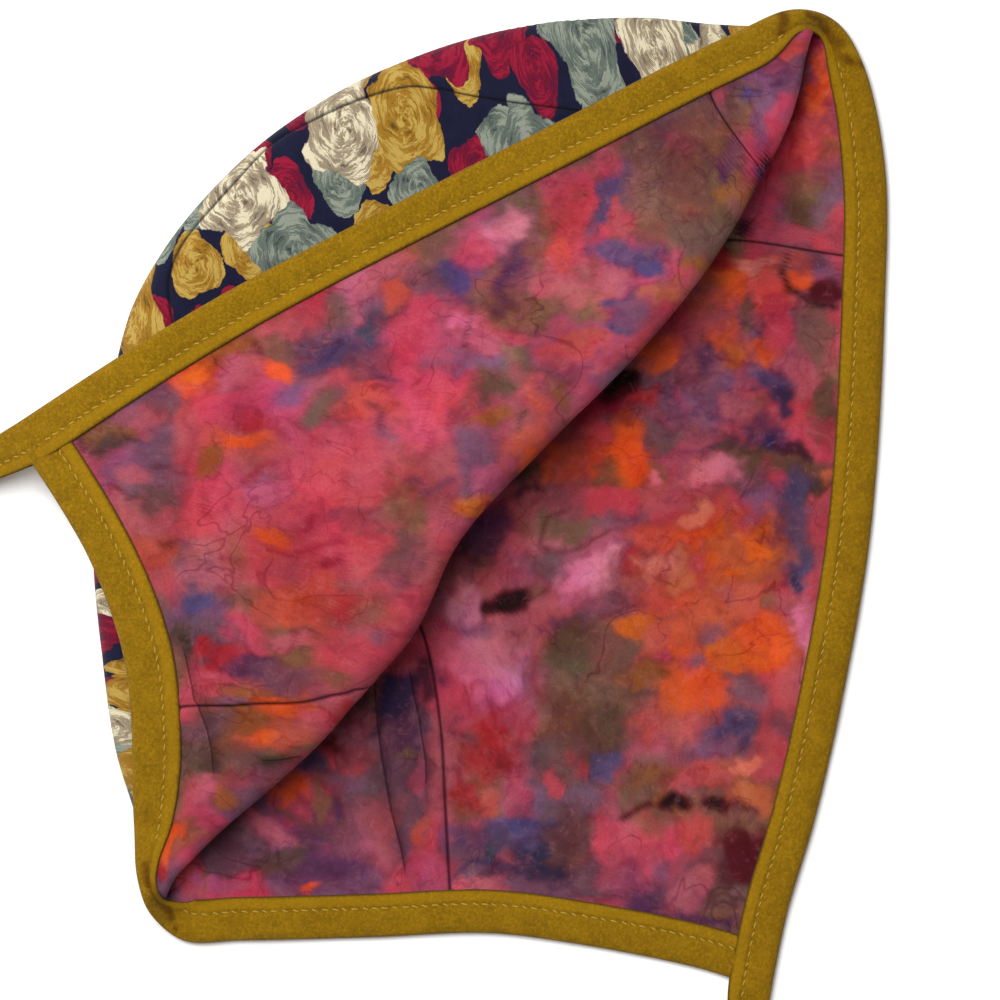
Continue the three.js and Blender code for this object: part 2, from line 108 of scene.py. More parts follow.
# Seams: the right side's as (along, run from the flap's edge), the left side's as (along, across)
RIGHT_SEAM = [
    (25.5, 0), (33.7, 13.4), (41.5, 33.0), (45, 42.6), (49.9, 58), (55.3, 76.5), (58, 87.5),
    (59.2, 92.0), (61, 94.5), (63.4, 98), (68, 112), (75, 135), (90, 150), (107.7, 160),
    (131.4, 155), (144.8, 150), (167.6, 128), (176.3, 108), (190, 72), (197.6, 38),
    (204.4, 12.4), (212, 0),
]
LEFT_SEAM = [
    (26.5, 56.7), (37.1, 47.4), (50, 36.5), (64.1, 24.4), (75.9, 11.5), (84, -2), (101.4, -19),
    (128.1, -25), (158.6, -13), (176, 3), (184.7, 13.0), (195.1, 32.1), (201.6, 44.0),
]


def smoothstep(value, low, high):
    """A smooth step from 0 at low to 1 at high."""
    f = np.clip((value - low) / (high - low), 0.0, 1.0)
    return f * f * (3.0 - 2.0 * f)


def unit(vectors):
    """Vectors made 1 long."""
    return vectors / np.linalg.norm(vectors, axis=-1, keepdims=True)


def run_along(line):
    """How far along a line each of its points is."""
    steps = np.linalg.norm(np.diff(line, axis=0), axis=1)
    return np.concatenate([[0], np.cumsum(steps)])


def hermite(xs, ys, at):
    """A smooth curve through rows, at any places along them."""
    xs = np.asarray(xs, float)
    ys = np.asarray(ys, float)
    last = len(xs) - 1
    x = np.clip(at, xs[0], xs[-1])
    i = np.clip(np.searchsorted(xs, x, side="left") - 1, 0, last - 1)
    before = np.clip(np.arange(last + 1) - 1, 0, last)
    after = np.clip(np.arange(last + 1) + 1, 0, last)
    slopes = (ys[after] - ys[before]) / (xs[after] - xs[before])
    width = xs[i + 1] - xs[i]
    f = (x - xs[i]) / width
    return ((1 + 2 * f) * (1 - f) ** 2 * ys[i] + f * (1 - f) ** 2 * width * slopes[i]
            + f * f * (3 - 2 * f) * ys[i + 1] + f * f * (f - 1) * width * slopes[i + 1])


# Stops of a smooth line between two of its rows, before it is spaced evenly
CURVE_STOPS = 60


def smooth_line(rows, step):
    """Evenly spaced points on a centripetal Catmull-Rom curve through rows."""
    p = np.array(rows, float)
    p = np.vstack([2 * p[0] - p[1], p, 2 * p[-1] - p[-2]])
    dense = []
    f = np.linspace(0, 1, CURVE_STOPS, endpoint=False)[:, None]
    for i in range(1, len(p) - 2):
        d0, d1, d2 = (np.sqrt(np.linalg.norm(p[i + k] - p[i + k - 1])) for k in range(3))
        t1 = (p[i] - p[i - 1]) / d0 - (p[i + 1] - p[i - 1]) / (d0 + d1) + (p[i + 1] - p[i]) / d1
        t2 = (p[i + 1] - p[i]) / d1 - (p[i + 2] - p[i]) / (d1 + d2) + (p[i + 2] - p[i + 1]) / d2
        t1, t2 = t1 * d1, t2 * d1
        dense.append((1 + 2 * f) * (1 - f) ** 2 * p[i] + f * (1 - f) ** 2 * t1
                     + f * f * (3 - 2 * f) * p[i + 1] + f * f * (f - 1) * t2)
    dense = np.vstack([*dense, p[-2][None]])
    lengths = run_along(dense)
    at = np.linspace(0, lengths[-1], max(2, round(lengths[-1] / step) + 1))
    return np.stack([np.interp(at, lengths, dense[:, k]) for k in range(dense.shape[1])], axis=1)


def to_part(points):
    """From the diagonal's own directions, in millimetres, to the part's frame."""
    c, s = math.cos(DIAGONAL), math.sin(DIAGONAL)
    x = NAPE[0] + points[:, 0] * c + points[:, 1] * s
    y = NAPE[1] + points[:, 0] * s - points[:, 1] * c
    return np.stack([x, y, points[:, 2]], axis=1)


def to_view(points):
    """The pixel of the view over points of the part's frame, in millimetres."""
    right = (points[:, 0] - VIEW_CENTRE[0]) / PIXEL_MM + VIEW_PIXELS / 2
    down = VIEW_PIXELS / 2 - (points[:, 1] - VIEW_CENTRE[1]) / PIXEL_MM
    return right, down


class Edge:
    """A cut edge of the cloth as an evenly spaced line, with its flap and ground halves."""

    def __init__(self, rows, is_front, step):
        self.line = smooth_line(rows, step)
        self.inward = 1 if is_front else -1
        alongs = self.line[:, 0]
        self.turn = int(np.argmax(alongs) if is_front else np.argmin(alongs))
        self.flap = self.ordered(self.line[:self.turn + 1])
        self.ground = self.ordered(self.line[self.turn:])

    @staticmethod
    def ordered(part):
        """A part of the line in order along the diagonal."""
        return part[np.argsort(part[:, 0])]


# Millimetres from one stop of an edge or a tie to the next
STOP = 0.5
FRONT = Edge(FRONT_EDGE, True, STOP)
NECK = Edge(NECK_EDGE, False, STOP)


def edge_across(sheet, along):
    """Where the cut edge lies across the diagonal, on the flap or on the ground."""
    neck, front = getattr(NECK, sheet), getattr(FRONT, sheet)
    on_neck = np.interp(along, neck[:, 0], neck[:, 1])
    on_front = np.interp(along, front[:, 0], front[:, 1])
    return np.where(along < neck[-1, 0], on_neck, on_front)


# A section's bends reach this far in their own radii, and no further than these shares of the
# cloth between two bends or between the last bend and the edge
BEND_REACH = 2.2
BEND_BULGE = 0.1
BETWEEN_BENDS = 0.45
BEFORE_EDGE = 0.3

# The flap's shoulder behind its lip, and how far a section runs on past each cut edge
SHOULDER_RUN = 9
SHOULDER_FROM_LIP = 30
LIP_RUN_ON = 10
LIP_DROP = 1.5
GROUND_RUN_ON = 14


def section_controls(along):
    """Control points of the sections at these places, as (across, height)."""
    at = {name: hermite(SECTIONS["along"], SECTIONS[name], along) for name in SECTIONS}
    lip, fold, dome = at["lip"], at["fold"], at["dome"]
    fold_r, dome_r = at["fold_r"], at["dome_r"]
    under = FLOOR_Z + 2 * dome_r
    top = under + 2 * fold_r
    inner = BETWEEN_BENDS * (fold - dome)
    fold_reach = np.minimum(BEND_REACH * fold_r, inner)
    dome_reach = np.minimum(BEND_REACH * dome_r, inner)
    past_lip = np.maximum(lip, np.minimum(dome, lip + SHOULDER_FROM_LIP))
    shoulder = np.minimum(past_lip + SHOULDER_RUN, (lip + fold) / 2)
    end = edge_across("ground", along) + GROUND_RUN_ON
    dome_out = np.minimum(BEND_REACH * dome_r, BEFORE_EDGE * (end - dome))
    ground = np.full_like(lip, FLOOR_Z)
    fold_tip = fold + BEND_BULGE * fold_r
    dome_tip = dome - BEND_BULGE * dome_r
    rows = [
        (lip - LIP_RUN_ON, at["lip_z"] - LIP_DROP),
        (lip + 1, at["lip_z"]),
        (shoulder, np.minimum(under + SHOULDER_RISE, top)),
        (np.maximum(fold - BEND_REACH * fold_r, (shoulder + fold) / 2), top),
        (fold_tip, top),
        (fold_tip, under),
        (fold - fold_reach, under),
        (dome + dome_reach, under),
        (dome_tip, under),
        (dome_tip, ground),
        (dome + dome_out, ground),
        ((dome + dome_out + end) / 2, ground),
        (end, ground),
    ]
    return np.stack([np.stack(row, axis=1) for row in rows], axis=1)


def spline_weights(count, places):
    """Weights of a uniform cubic B-spline over its control points, its ends mirrored."""
    u = np.asarray(places, float)
    i = np.minimum(np.floor(u).astype(int), count - 2)
    f = u - i
    parts = [(1 - f) ** 3, 3 * f ** 3 - 6 * f * f + 4, 3 * (f + f * f - f ** 3) + 1, f ** 3]
    weights = np.zeros((len(u), count))
    rows = np.arange(len(u))
    for k, part in enumerate(parts):
        at = i - 1 + k
        inside = (at >= 0) & (at < count)
        np.add.at(weights, (rows[inside], at[inside]), part[inside] / 6)
        for over, end, beside in ((at < 0, 0, 1), (at >= count, count - 1, count - 2)):
            np.add.at(weights, (rows[over], np.full(over.sum(), end)), part[over] / 3)
            np.add.at(weights, (rows[over], np.full(over.sum(), beside)), -part[over] / 6)
    return weights


# Where the flap's fold, the crown's turn and the end lie among a section's control points
FOLD_U, DOME_U, END_U = 4.5, 8.5, 12.0

# Steps of the cloth's surface along the diagonal and across, and of the sections it is made from
ALONG_STEP = 0.5
ACROSS_STOPS = 760
SECTION_STOPS = 1600

# The coarse raster of distances from the cut edge: its reach along and across, and its step
RASTER_ALONG = (-12.0, 246.0)
RASTER_ACROSS = (-100.0, 132.0)
RASTER_STEP = 1.5

# Heights over the floor between which the lift at the bound edges fades out
LOW_CLOTH = (1, 7)

# Where the soft folds begin and end beside the fold and the crown's turn
FLAP_RELIEF = (0.9, 0.2)
GROUND_RELIEF = (0.4, 1.2)


class Cloth:
    """The bonnet's cloth as one surface, looked up by the place along the diagonal and by w,
    the share of a section's length from the flap's end to the ground's."""

    def __init__(self):
        first, last = SECTIONS["along"][0], SECTIONS["along"][-1]
        self.along = np.arange(first, last + 0.01, ALONG_STEP)
        self.w = np.linspace(0, 1, ACROSS_STOPS)
        controls = section_controls(self.along)
        places = np.linspace(0, END_U, SECTION_STOPS)
        dense = np.einsum("uc,scd->sud", spline_weights(controls.shape[1], places), controls)
        steps = np.linalg.norm(np.diff(dense, axis=1), axis=2)
        lengths = np.concatenate([np.zeros((len(dense), 1)), np.cumsum(steps, axis=1)], axis=1)
        self.length = lengths[:, -1]
        shape = (len(self.along), len(self.w))
        self.across, height, self.u = np.zeros(shape), np.zeros(shape), np.zeros(shape)
        for k in range(len(self.along)):
            share = lengths[k] / lengths[k, -1]
            self.across[k] = np.interp(self.w, share, dense[k, :, 0])
            height[k] = np.interp(self.w, share, dense[k, :, 1])
            self.u[k] = np.interp(self.w, share, places)
        along = np.broadcast_to(self.along[:, None], shape)
        near = 1 - smoothstep(self.edge_distance(along, self.across), LIFT_FULL, LIFT_NONE)
        low = 1 - smoothstep(height, FLOOR_Z + LOW_CLOTH[0], FLOOR_Z + LOW_CLOTH[1])
        self.points = np.stack([along, self.across, height + EDGE_LIFT * near * low], axis=2)
        self.relief()
        self.normals = self.normals_of(self.points)

    @staticmethod
    def edge_distance(along, across):
        """Distance from the cut edge on the ground, off a coarse raster of it."""
        xs = np.arange(*RASTER_ALONG, RASTER_STEP)
        ys = np.arange(*RASTER_ACROSS, RASTER_STEP)
        edge = np.vstack([NECK.ground[::2], FRONT.ground[::2]])
        gx, gy = np.meshgrid(xs, ys, indexing="ij")
        best = np.full(gx.shape, np.inf)
        for p in edge:
            np.minimum(best, (gx - p[0]) ** 2 + (gy - p[1]) ** 2, out=best)
        return bilinear(np.sqrt(best), xs, ys, along, across)

    @staticmethod
    def normals_of(points):
        """The directions that the lining faces over a grid of points."""
        alongs = np.gradient(points, axis=0)
        acrosses = np.gradient(points, axis=1)
        n = np.cross(alongs, acrosses)
        return n / np.maximum(np.linalg.norm(n, axis=2, keepdims=True), 1e-9)

    def relief(self):
        """Raises the folds and ripples out of the smooth cloth."""
        normals = self.normals_of(self.points)
        flat = to_part(self.points.reshape(-1, 3))
        right, down = to_view(flat)
        shape = self.across.shape
        right, down = right.reshape(shape), down.reshape(shape)
        on_flap = 1 - smoothstep(self.u, FOLD_U - FLAP_RELIEF[0], FOLD_U - FLAP_RELIEF[1])
        on_ground = smoothstep(self.u, DOME_U + GROUND_RELIEF[0], DOME_U + GROUND_RELIEF[1])
        lift = np.zeros(shape)
        for sheet, share in (("flap", on_flap), ("ground", on_ground)):
            lift += share * soft_folds(sheet, right, down)
        self.points = self.points + normals * lift[..., None]
        self.points[..., 2] = np.maximum(self.points[..., 2], FLOOR_Z)

    def at(self, along, w):
        """Points and the directions that the lining faces."""
        along, w = np.broadcast_arrays(np.asarray(along, float), np.asarray(w, float))
        point = bilinear(self.points, self.along, self.w, along, w)
        normal = bilinear(self.normals, self.along, self.w, along, w)
        return point, unit(normal)

    def row(self, table, along):
        """Rows of a table at places along the diagonal."""
        g = np.clip((along - self.along[0]) / ALONG_STEP, 0, len(self.along) - 1.001)
        i = g.astype(int)
        f = (g - i)[:, None]
        return table[i] * (1 - f) + table[i + 1] * f

    def w_at(self, sheet, along, across):
        """Where sections pass places across the diagonal, on the flap or on the ground."""
        rows = self.row(self.across, along)
        found = np.zeros(len(along))
        for k, (x, place) in enumerate(zip(rows, across)):
            if sheet == "flap":
                end = int(np.argmax(x >= place)) or int(np.argmax(x))
                found[k] = self.between(x, max(end, 1) - 1, max(end, 1), place)
            else:
                back = x[::-1]
                hit = np.argmax(back <= place)
                end = len(x) - 1 - (hit or int(np.argmin(back)))
                start = min(end, len(x) - 2)
                found[k] = self.between(x, start, start + 1, place)
        return found

    def between(self, x, i, j, place):
        """The w between two stops at which a section passes a place."""
        gap = x[j] - x[i]
        f = 0.0 if abs(gap) < 1e-9 else (place - x[i]) / gap
        return self.w[i] + (self.w[j] - self.w[i]) * min(max(f, 0.0), 1.0)

    def section_length(self, along):
        """Lengths of the sections from the flap's end to the ground's."""
        return np.interp(along, self.along, self.length)


def bilinear(table, xs, ys, x, y):
    """A table's values at places between its evenly spaced rows and columns."""
    gx = np.clip((x - xs[0]) / (xs[1] - xs[0]), 0, len(xs) - 1.001)
    gy = np.clip((y - ys[0]) / (ys[1] - ys[0]), 0, len(ys) - 1.001)
    i, j = gx.astype(int), gy.astype(int)
    fx, fy = gx - i, gy - j
    if table.ndim == 3:
        fx, fy = fx[..., None], fy[..., None]
    return ((table[i, j] * (1 - fx) + table[i + 1, j] * fx) * (1 - fy)
            + (table[i, j + 1] * (1 - fx) + table[i + 1, j + 1] * fx) * fy)


# Soft folds as ridges between two pixels of the view: half width and height in millimetres
FOLDS = [
    ("ground", 640, 330, 735, 415, 3.0, 0.9),
    ("ground", 738, 268, 790, 345, 2.4, 1.3),
    ("ground", 690, 300, 738, 372, 2.6, 1.0),
    ("ground", 284, 802, 330, 828, 1.6, 0.9),
    ("ground", 336, 822, 340, 866, 2.2, 0.8),
    ("ground", 352, 752, 362, 700, 2.0, 0.7),
    ("ground", 560, 600, 640, 560, 4.0, 0.7),
    ("ground", 640, 660, 720, 610, 4.0, 0.8),
    ("ground", 500, 690, 520, 780, 4.0, 0.6),
    ("ground", 690, 720, 760, 700, 4.0, 0.6),
    ("flap", 205, 700, 214, 770, 1.8, 0.7),
    ("flap", 236, 744, 300, 742, 1.8, 0.6),
    ("flap", 300, 560, 400, 640, 5.0, 0.8),
    ("flap", 440, 420, 520, 470, 5.0, 0.8),
    ("flap", 560, 300, 620, 330, 4.0, 0.6),
]

# Tucks, along which the cloth on the left of the line lies over the cloth on its right: sheet,
# rise in millimetres, then pixels of the view from the line's start to its end
TUCKS = [
    ("ground", 0.9, (407, 884), (400, 848), (390, 810), (381, 759), (377, 729), (374, 690),
     (372, 660)),
    ("ground", 0.5, (426, 790), (425, 760), (420, 725), (412, 690), (408, 664)),
    ("flap", 0.15, (217, 778), (214, 747), (210, 727), (203, 706), (198, 698), (190, 660),
     (186, 640)),
    ("flap", 0.3, (263, 757), (282, 756), (304, 751)),
]

# Shares of a fold's and of a tuck's length over which it rises and sinks again
FOLD_ENDS = ((-0.25, 0.3), (0.7, 1.25))
TUCK_ENDS = ((0.0, 0.15), (0.85, 1.0))

# Millimetres beside a tuck's line over which its upper cloth steps down, and how fast the cloth
# behind the line settles
TUCK_STEP = (-0.4, 0.5)
TUCK_REACH = 3.5


def soft_folds(sheet, right, down):
    """Height of the soft folds and tucks of one sheet over pixels of the view."""
    height = np.zeros(right.shape)
    for where, x0, y0, x1, y1, half, rise in FOLDS:
        if where != sheet:
            continue
        length = math.hypot(x1 - x0, y1 - y0)
        wx, wy = (x1 - x0) / length, (y1 - y0) / length
        run = (right - x0) * wx + (down - y0) * wy
        side = np.abs((right - x0) * wy - (down - y0) * wx) * PIXEL_MM
        rises, sinks = ((low * length, high * length) for low, high in FOLD_ENDS)
        fade = smoothstep(run, *rises) * (1 - smoothstep(run, *sinks))
        height += rise * fade * np.exp(-(side / half) ** 2)
    for where, rise, *stops in TUCKS:
        if where != sheet:
            continue
        off, run = beside_line(right, down, stops)
        rises, sinks = TUCK_ENDS
        fade = smoothstep(run, *rises) * (1 - smoothstep(run, *sinks))
        over = (1 - smoothstep(off, *TUCK_STEP)) * np.exp(np.minimum(off, 0) / TUCK_REACH)
        height += rise * fade * over
    return height


def beside_line(right, down, stops):
    """How far right of a line through pixels points lie, in millimetres, and how far along it."""
    lengths = [math.dist(a, b) for a, b in zip(stops, stops[1:])]
    total = sum(lengths)
    best = np.full(np.shape(right), np.inf)
    off, run = np.zeros(np.shape(right)), np.zeros(np.shape(right))
    before = 0.0
    for index, ((x0, y0), (x1, y1), length) in enumerate(zip(stops, stops[1:], lengths)):
        wx, wy = (x1 - x0) / length, (y1 - y0) / length
        way = (right - x0) * wx + (down - y0) * wy
        side = (down - y0) * wx - (right - x0) * wy
        low = -np.inf if index == 0 else 0.0
        high = np.inf if index == len(lengths) - 1 else length
        past = way - np.clip(way, low, high)
        far = np.hypot(side, past)
        closer = far < best
        best = np.where(closer, far, best)
        off = np.where(closer, np.copysign(far, side), off)
        run = np.where(closer, (before + way) / total, run)
        before += length
    return off * PIXEL_MM, run


CLOTH_SURFACE = Cloth()


# Distances of the close columns of mesh beside a seam, and the least plain cloth between them
SEAM_STOPS = np.array([0.0, 0.3, 0.65, 1.1, 1.7, 2.5])
LEAST_PLAIN = 1.5


def graded(length, count):
    """Distances along a row: close together at both ends and even between them."""
    scale = min(1.0, length / (2 * SEAM_STOPS[-1] + LEAST_PLAIN)) if length > 0 else 0.0
    ends = SEAM_STOPS * scale
    inner = np.linspace(ends[-1], length - ends[-1], count - 2 * len(ends) + 2)[1:-1]
    return np.concatenate([ends, inner, (length - ends)[::-1]])


def seam_line(seam, along):
    """A seam's second measure at places along the diagonal, and where the seam runs."""
    places, measures = zip(*seam)
    return hermite(places, measures, along), (along > places[0]) & (along < places[-1])


def seam_rows(panel, along):
    """The w at which a panel begins and ends in each section."""
    cloth = CLOTH_SURFACE
    total = cloth.section_length(along)
    flap = cloth.w_at("flap", along, edge_across("flap", along))
    ground = cloth.w_at("ground", along, edge_across("ground", along))
    run, inside = seam_line(RIGHT_SEAM, along)
    right_w = np.where(inside, flap + np.maximum(run, 0) / total, flap)
    across, inside = seam_line(LEFT_SEAM, along)
    left_w = np.where(inside, np.minimum(cloth.w_at("ground", along, across), ground), ground)
    return {"right": (flap, right_w), "centre": (right_w, left_w), "left": (left_w, ground)}[panel]


# Where each panel begins and ends along the diagonal
PANEL_REACH = {"right": (25.5, 212.0), "centre": (-3.0, 231.6), "left": (31.0, 197.5)}

# Past these places along the diagonal the cloth dips under the bindings
DIP_BEFORE, DIP_AFTER = -0.6, 229.2
DIP_RUN = 2.0
DIP_DEPTH = 4.2
DIP_LOWEST = 0.85


def panel_grid(panel, step, columns):
    """Rows of points and normals over a panel, with each point's place and seam distances."""
    first, last = PANEL_REACH[panel]
    along = np.linspace(first, last, 2 * round((last - first) / step / 2) + 1)
    start, end = seam_rows(panel, along)
    total = CLOTH_SURFACE.section_length(along)
    rows = []
    for a, b, whole in zip(start, end, total):
        length = max(b - a, 0.0) * whole
        rows.append(a + graded(length, columns) / whole)
    w = np.array(rows)
    grid = np.broadcast_to(along[:, None], w.shape)
    points, normals = CLOTH_SURFACE.at(grid, w)
    past = np.maximum(DIP_BEFORE - grid, grid - DIP_AFTER)
    dipped = points[..., 2] - DIP_DEPTH * smoothstep(past, 0.0, DIP_RUN)
    points[..., 2] = np.maximum(dipped, np.minimum(points[..., 2], DIP_LOWEST))
    place = np.stack([grid, w * total[:, None]], axis=2)
    from_ends = np.minimum(w - start[:, None], end[:, None] - w) * total[:, None]
    return points, normals, place, from_ends


def new_object(name, vertices, faces, materials=(), smooth=True):
    """An object from points and from faces, a table of them for each number of corners."""
    mesh = bpy.data.meshes.new(name)
    mesh.vertices.add(len(vertices))
    mesh.vertices.foreach_set("co", np.asarray(vertices, np.float32).ravel())
    tables = [np.asarray(table, np.int32) for table in faces]
    corners = np.concatenate([table.ravel() for table in tables])
    sizes = np.concatenate([np.full(len(table), table.shape[1]) for table in tables])
    mesh.loops.add(len(corners))
    mesh.loops.foreach_set("vertex_index", corners)
    mesh.polygons.add(len(sizes))
    mesh.polygons.foreach_set("loop_start", np.cumsum(sizes) - sizes)
    mesh.update(calc_edges=True)
    mesh.validate()
    mesh.polygons.foreach_set("use_smooth", np.full(len(mesh.polygons), smooth))
    for material in materials:
        mesh.materials.append(material)
    obj = bpy.data.objects.new(name, mesh)
    bpy.context.scene.collection.objects.link(obj)
    return obj


def add_attribute(obj, name, values):
    """Stores a number or a vector for each vertex."""
    values = np.asarray(values, np.float32)
    is_vector = values.ndim == 2
    kind = "FLOAT_VECTOR" if is_vector else "FLOAT"
    layer = obj.data.attributes.new(name, kind, "POINT")
    layer.data.foreach_set("vector" if is_vector else "value", values.ravel())


def grid_faces(rows, columns, flip=False):
    """The faces between the points of a grid."""
    i, j = np.meshgrid(np.arange(rows - 1), np.arange(columns - 1), indexing="ij")
    a = (i * columns + j).ravel()
    faces = np.stack([a, a + 1, a + columns + 1, a + columns], axis=1)
    return faces[:, ::-1] if flip else faces


def rim(rows, columns):
    """The points round a grid, in order."""
    return np.concatenate([
        np.arange(columns - 1),
        np.arange(rows - 1) * columns + columns - 1,
        (rows - 1) * columns + np.arange(columns - 1, 0, -1),
        np.arange(rows - 1, 0, -1) * columns,
    ])


def both_faces(values, rows, columns):
    """Values at a sheet's points: all of them, then those of every second row and column."""
    grid = np.asarray(values).reshape(rows, columns, -1)
    both = np.concatenate([grid.reshape(rows * columns, -1),
                           grid[::2, ::2].reshape(-1, grid.shape[2])])
    return both[:, 0] if both.shape[1] == 1 else both


# The least height of cloth, bindings and stitches over the floor
CLOTH_CLEAR = 0.02
BINDING_CLEAR = 0.04
STITCH_CLEAR = 0.03


def over_floor(points, least):
    """Points with none of them lower than a least height."""
    points[:, 2] = np.maximum(points[:, 2], least)
    return points


def slab(name, points, normals, shown, hidden, materials):
    """A closed sheet of cloth between two distances from the cloth's middle. The face that
    doesn't show has every second row and column."""
    rows, columns = points.shape[:2]
    count = rows * columns
    front = points + normals * np.asarray(shown)[..., None]
    back = points + normals * np.asarray(hidden)[..., None]
    vertices = np.vstack([front.reshape(-1, 3), back[::2, ::2].reshape(-1, 3)])
    vertices = over_floor(to_part(vertices), CLOTH_CLEAR)
    below = bool(np.mean(shown) < np.mean(hidden))
    half_rows, half_columns = rows // 2 + 1, columns // 2 + 1
    sheets = np.vstack([grid_faces(rows, columns, below),
                        grid_faces(half_rows, half_columns, not below) + count])
    fine, coarse = rim(rows, columns), rim(half_rows, half_columns) + count
    walls = np.stack([np.roll(fine[::2], -1), fine[1::2], fine[::2], coarse, np.roll(coarse, -1)],
                     axis=1)
    return new_object(name, vertices * MM, [sheets, walls[:, ::-1] if below else walls],
                      materials)


# Millimetres to a metre, in each direction
PER_METRE = (1000.0, 1000.0, 1000.0)


class Nodes:
    """Builds a material's node tree in few words."""

    def __init__(self, name):
        self.material = bpy.data.materials.new(name)
        self.material.use_nodes = True
        self.tree = self.material.node_tree
        self.shader = self.tree.nodes["Principled BSDF"]

    def make(self, kind, inputs=(), **settings):
        """A node with these inputs and settings."""
        node = self.tree.nodes.new(kind)
        for key, value in settings.items():
            setattr(node, key, value)
        for key, value in dict(inputs).items():
            self.feed(node.inputs[key], value)
        return node

    def feed(self, socket, value):
        """Links a socket to another or gives it a value."""
        if isinstance(value, bpy.types.NodeSocket):
            self.tree.links.new(value, socket)
        elif value is not None:
            socket.default_value = value

    def attribute(self, name, output="Fac"):
        """What is stored at the mesh's points under a name."""
        return self.make("ShaderNodeAttribute", attribute_name=name).outputs[output]

    def place(self):
        """The place in the object's own frame, in millimetres."""
        return self.scaled(self.make("ShaderNodeTexCoord").outputs["Object"], PER_METRE)

    def split(self, vector):
        """The three parts of a vector."""
        return self.make("ShaderNodeSeparateXYZ", inputs={0: vector}).outputs

    def join(self, x, y, z):
        """A vector of three parts."""
        return self.make("ShaderNodeCombineXYZ", inputs={0: x, 1: y, 2: z}).outputs[0]

    def vectors(self, operation, a, b):
        """A sum or difference of two vectors, or a vector scaled by a number."""
        second = "Scale" if operation == "SCALE" else 1
        node = self.make("ShaderNodeVectorMath", operation=operation, inputs={0: a, second: b})
        return node.outputs[0]

    def times(self, a, b):
        """One number multiplied by another."""
        return self.maths("MULTIPLY", a, b)

    def maths(self, operation, a, b=None, c=None):
        """One of the plain sums of up to three numbers."""
        node = self.make("ShaderNodeMath", operation=operation)
        for socket, value in zip(node.inputs, (a, b, c)):
            self.feed(socket, value)
        return node.outputs[0]

    def step(self, value, low, high, to_low=0.0, to_high=1.0):
        """A smooth step from one number to another."""
        node = self.make("ShaderNodeMapRange", interpolation_type="SMOOTHSTEP", inputs={
            "Value": value, "From Min": low, "From Max": high,
            "To Min": to_low, "To Max": to_high})
        return node.outputs["Result"]

    def noise(self, vector, scale, detail=2.0, rough=0.5, distortion=0.0, output="Fac"):
        """Smooth noise, with this many cells to a unit."""
        node = self.make("ShaderNodeTexNoise", inputs={
            "Vector": vector, "Scale": scale, "Detail": detail, "Roughness": rough,
            "Distortion": distortion})
        return node.outputs[output]

    def mix(self, factor, a, b, blend="MIX"):
        """One colour mixed with another."""
        node = self.make("ShaderNodeMix", data_type="RGBA", blend_type=blend)
        for socket, value in ((node.inputs[0], factor), (node.inputs[6], a), (node.inputs[7], b)):
            if isinstance(value, tuple) and len(value) == 3:
                value = (*value, 1.0)
            self.feed(socket, value)
        return node.outputs[2]

    def tinted(self, colour, tint):
        """A colour multiplied by another."""
        return self.mix(1.0, colour, tint, "MULTIPLY")

    def scaled(self, vector, scale, offset=(0.0, 0.0, 0.0), turn=(0.0, 0.0, 0.0)):
        """A vector that is turned, scaled and moved."""
        node = self.make("ShaderNodeMapping", inputs={
            "Vector": vector, "Scale": scale, "Location": offset, "Rotation": turn})
        return node.outputs["Vector"]

    def bump(self, height, distance, strength=1.0, normal=None):
        """A bump as high as this distance, in millimetres."""
        node = self.make("ShaderNodeBump", inputs={
            "Height": height, "Distance": distance * MM, "Strength": strength, "Normal": normal})
        return node.outputs["Normal"]

    def finish(self, colour, roughness, normal=None, specular=None, sheen=None):
        """The material, with its surface's main measures."""
        measures = {"Base Color": colour, "Normal": normal, "Roughness": roughness,
                    "Specular IOR Level": specular, "Sheen Weight": sheen}
        for name, value in measures.items():
            self.feed(self.shader.inputs[name], value)
        return self.material


def plain_material(name, colour, roughness):
    """A material of one colour."""
    return Nodes(name).finish((*colour, 1.0), roughness)


# Half a binding's cross-section from its inner edge to its turned edge: inset from the cloth's
# edge and height off the cloth's middle, on the outside and on the inside
BINDING_HALF_PROFILE = [
    (7.95, 0.98, 7.70, 0.72),
    (7.80, 1.22, 7.40, 0.72),
    (7.0, 1.38, 6.6, 0.72),
    (5.7, 1.40, 5.6, 0.72),
    (5.15, 1.30, 5.1, 0.72),
    (4.75, 1.10, 4.75, 0.72),
    (4.35, 1.30, 4.4, 0.72),
    (3.5, 1.40, 3.4, 0.72),
    (1.8, 1.42, 1.9, 0.72),
    (0.2, 1.36, 0.5, 0.72),
    (-0.8, 1.05, -0.2, 0.60),
    (-1.38, 0.45, -0.65, 0.22),
]
HALF_COUNT = len(BINDING_HALF_PROFILE)

# The profile's row in whose groove the stitches lie
STITCH_COLUMN = 5


def binding_profile():
    """The closed cross-section as (inset, height): once round outside and back inside."""
    half = np.array(BINDING_HALF_PROFILE)
    flip = np.array([1, -1])
    outside = np.vstack([half[:, :2], half[::-1, :2] * flip])
    inside = np.vstack([half[:, 2:], half[::-1, 2:] * flip])
    return np.vstack([outside, inside[::-1]])


def smoothed(values, half):
    """A running average along rows, its ends kept."""
    padded = np.concatenate([np.repeat(values[:1], half, 0), values,
                             np.repeat(values[-1:], half, 0)])
    kernel = np.hanning(2 * half + 3)[1:-1]
    kernel /= kernel.sum()
    out = np.zeros_like(values)
    for k, weight in enumerate(kernel):
        out += weight * padded[k:k + len(values)]
    return out


def inward_of(line, sign):
    """Directions from a cut edge into the cloth, seen from above."""
    way = unit(np.gradient(line[:, :2], axis=0))
    return np.stack([-way[:, 1], way[:, 0]], axis=1) * sign


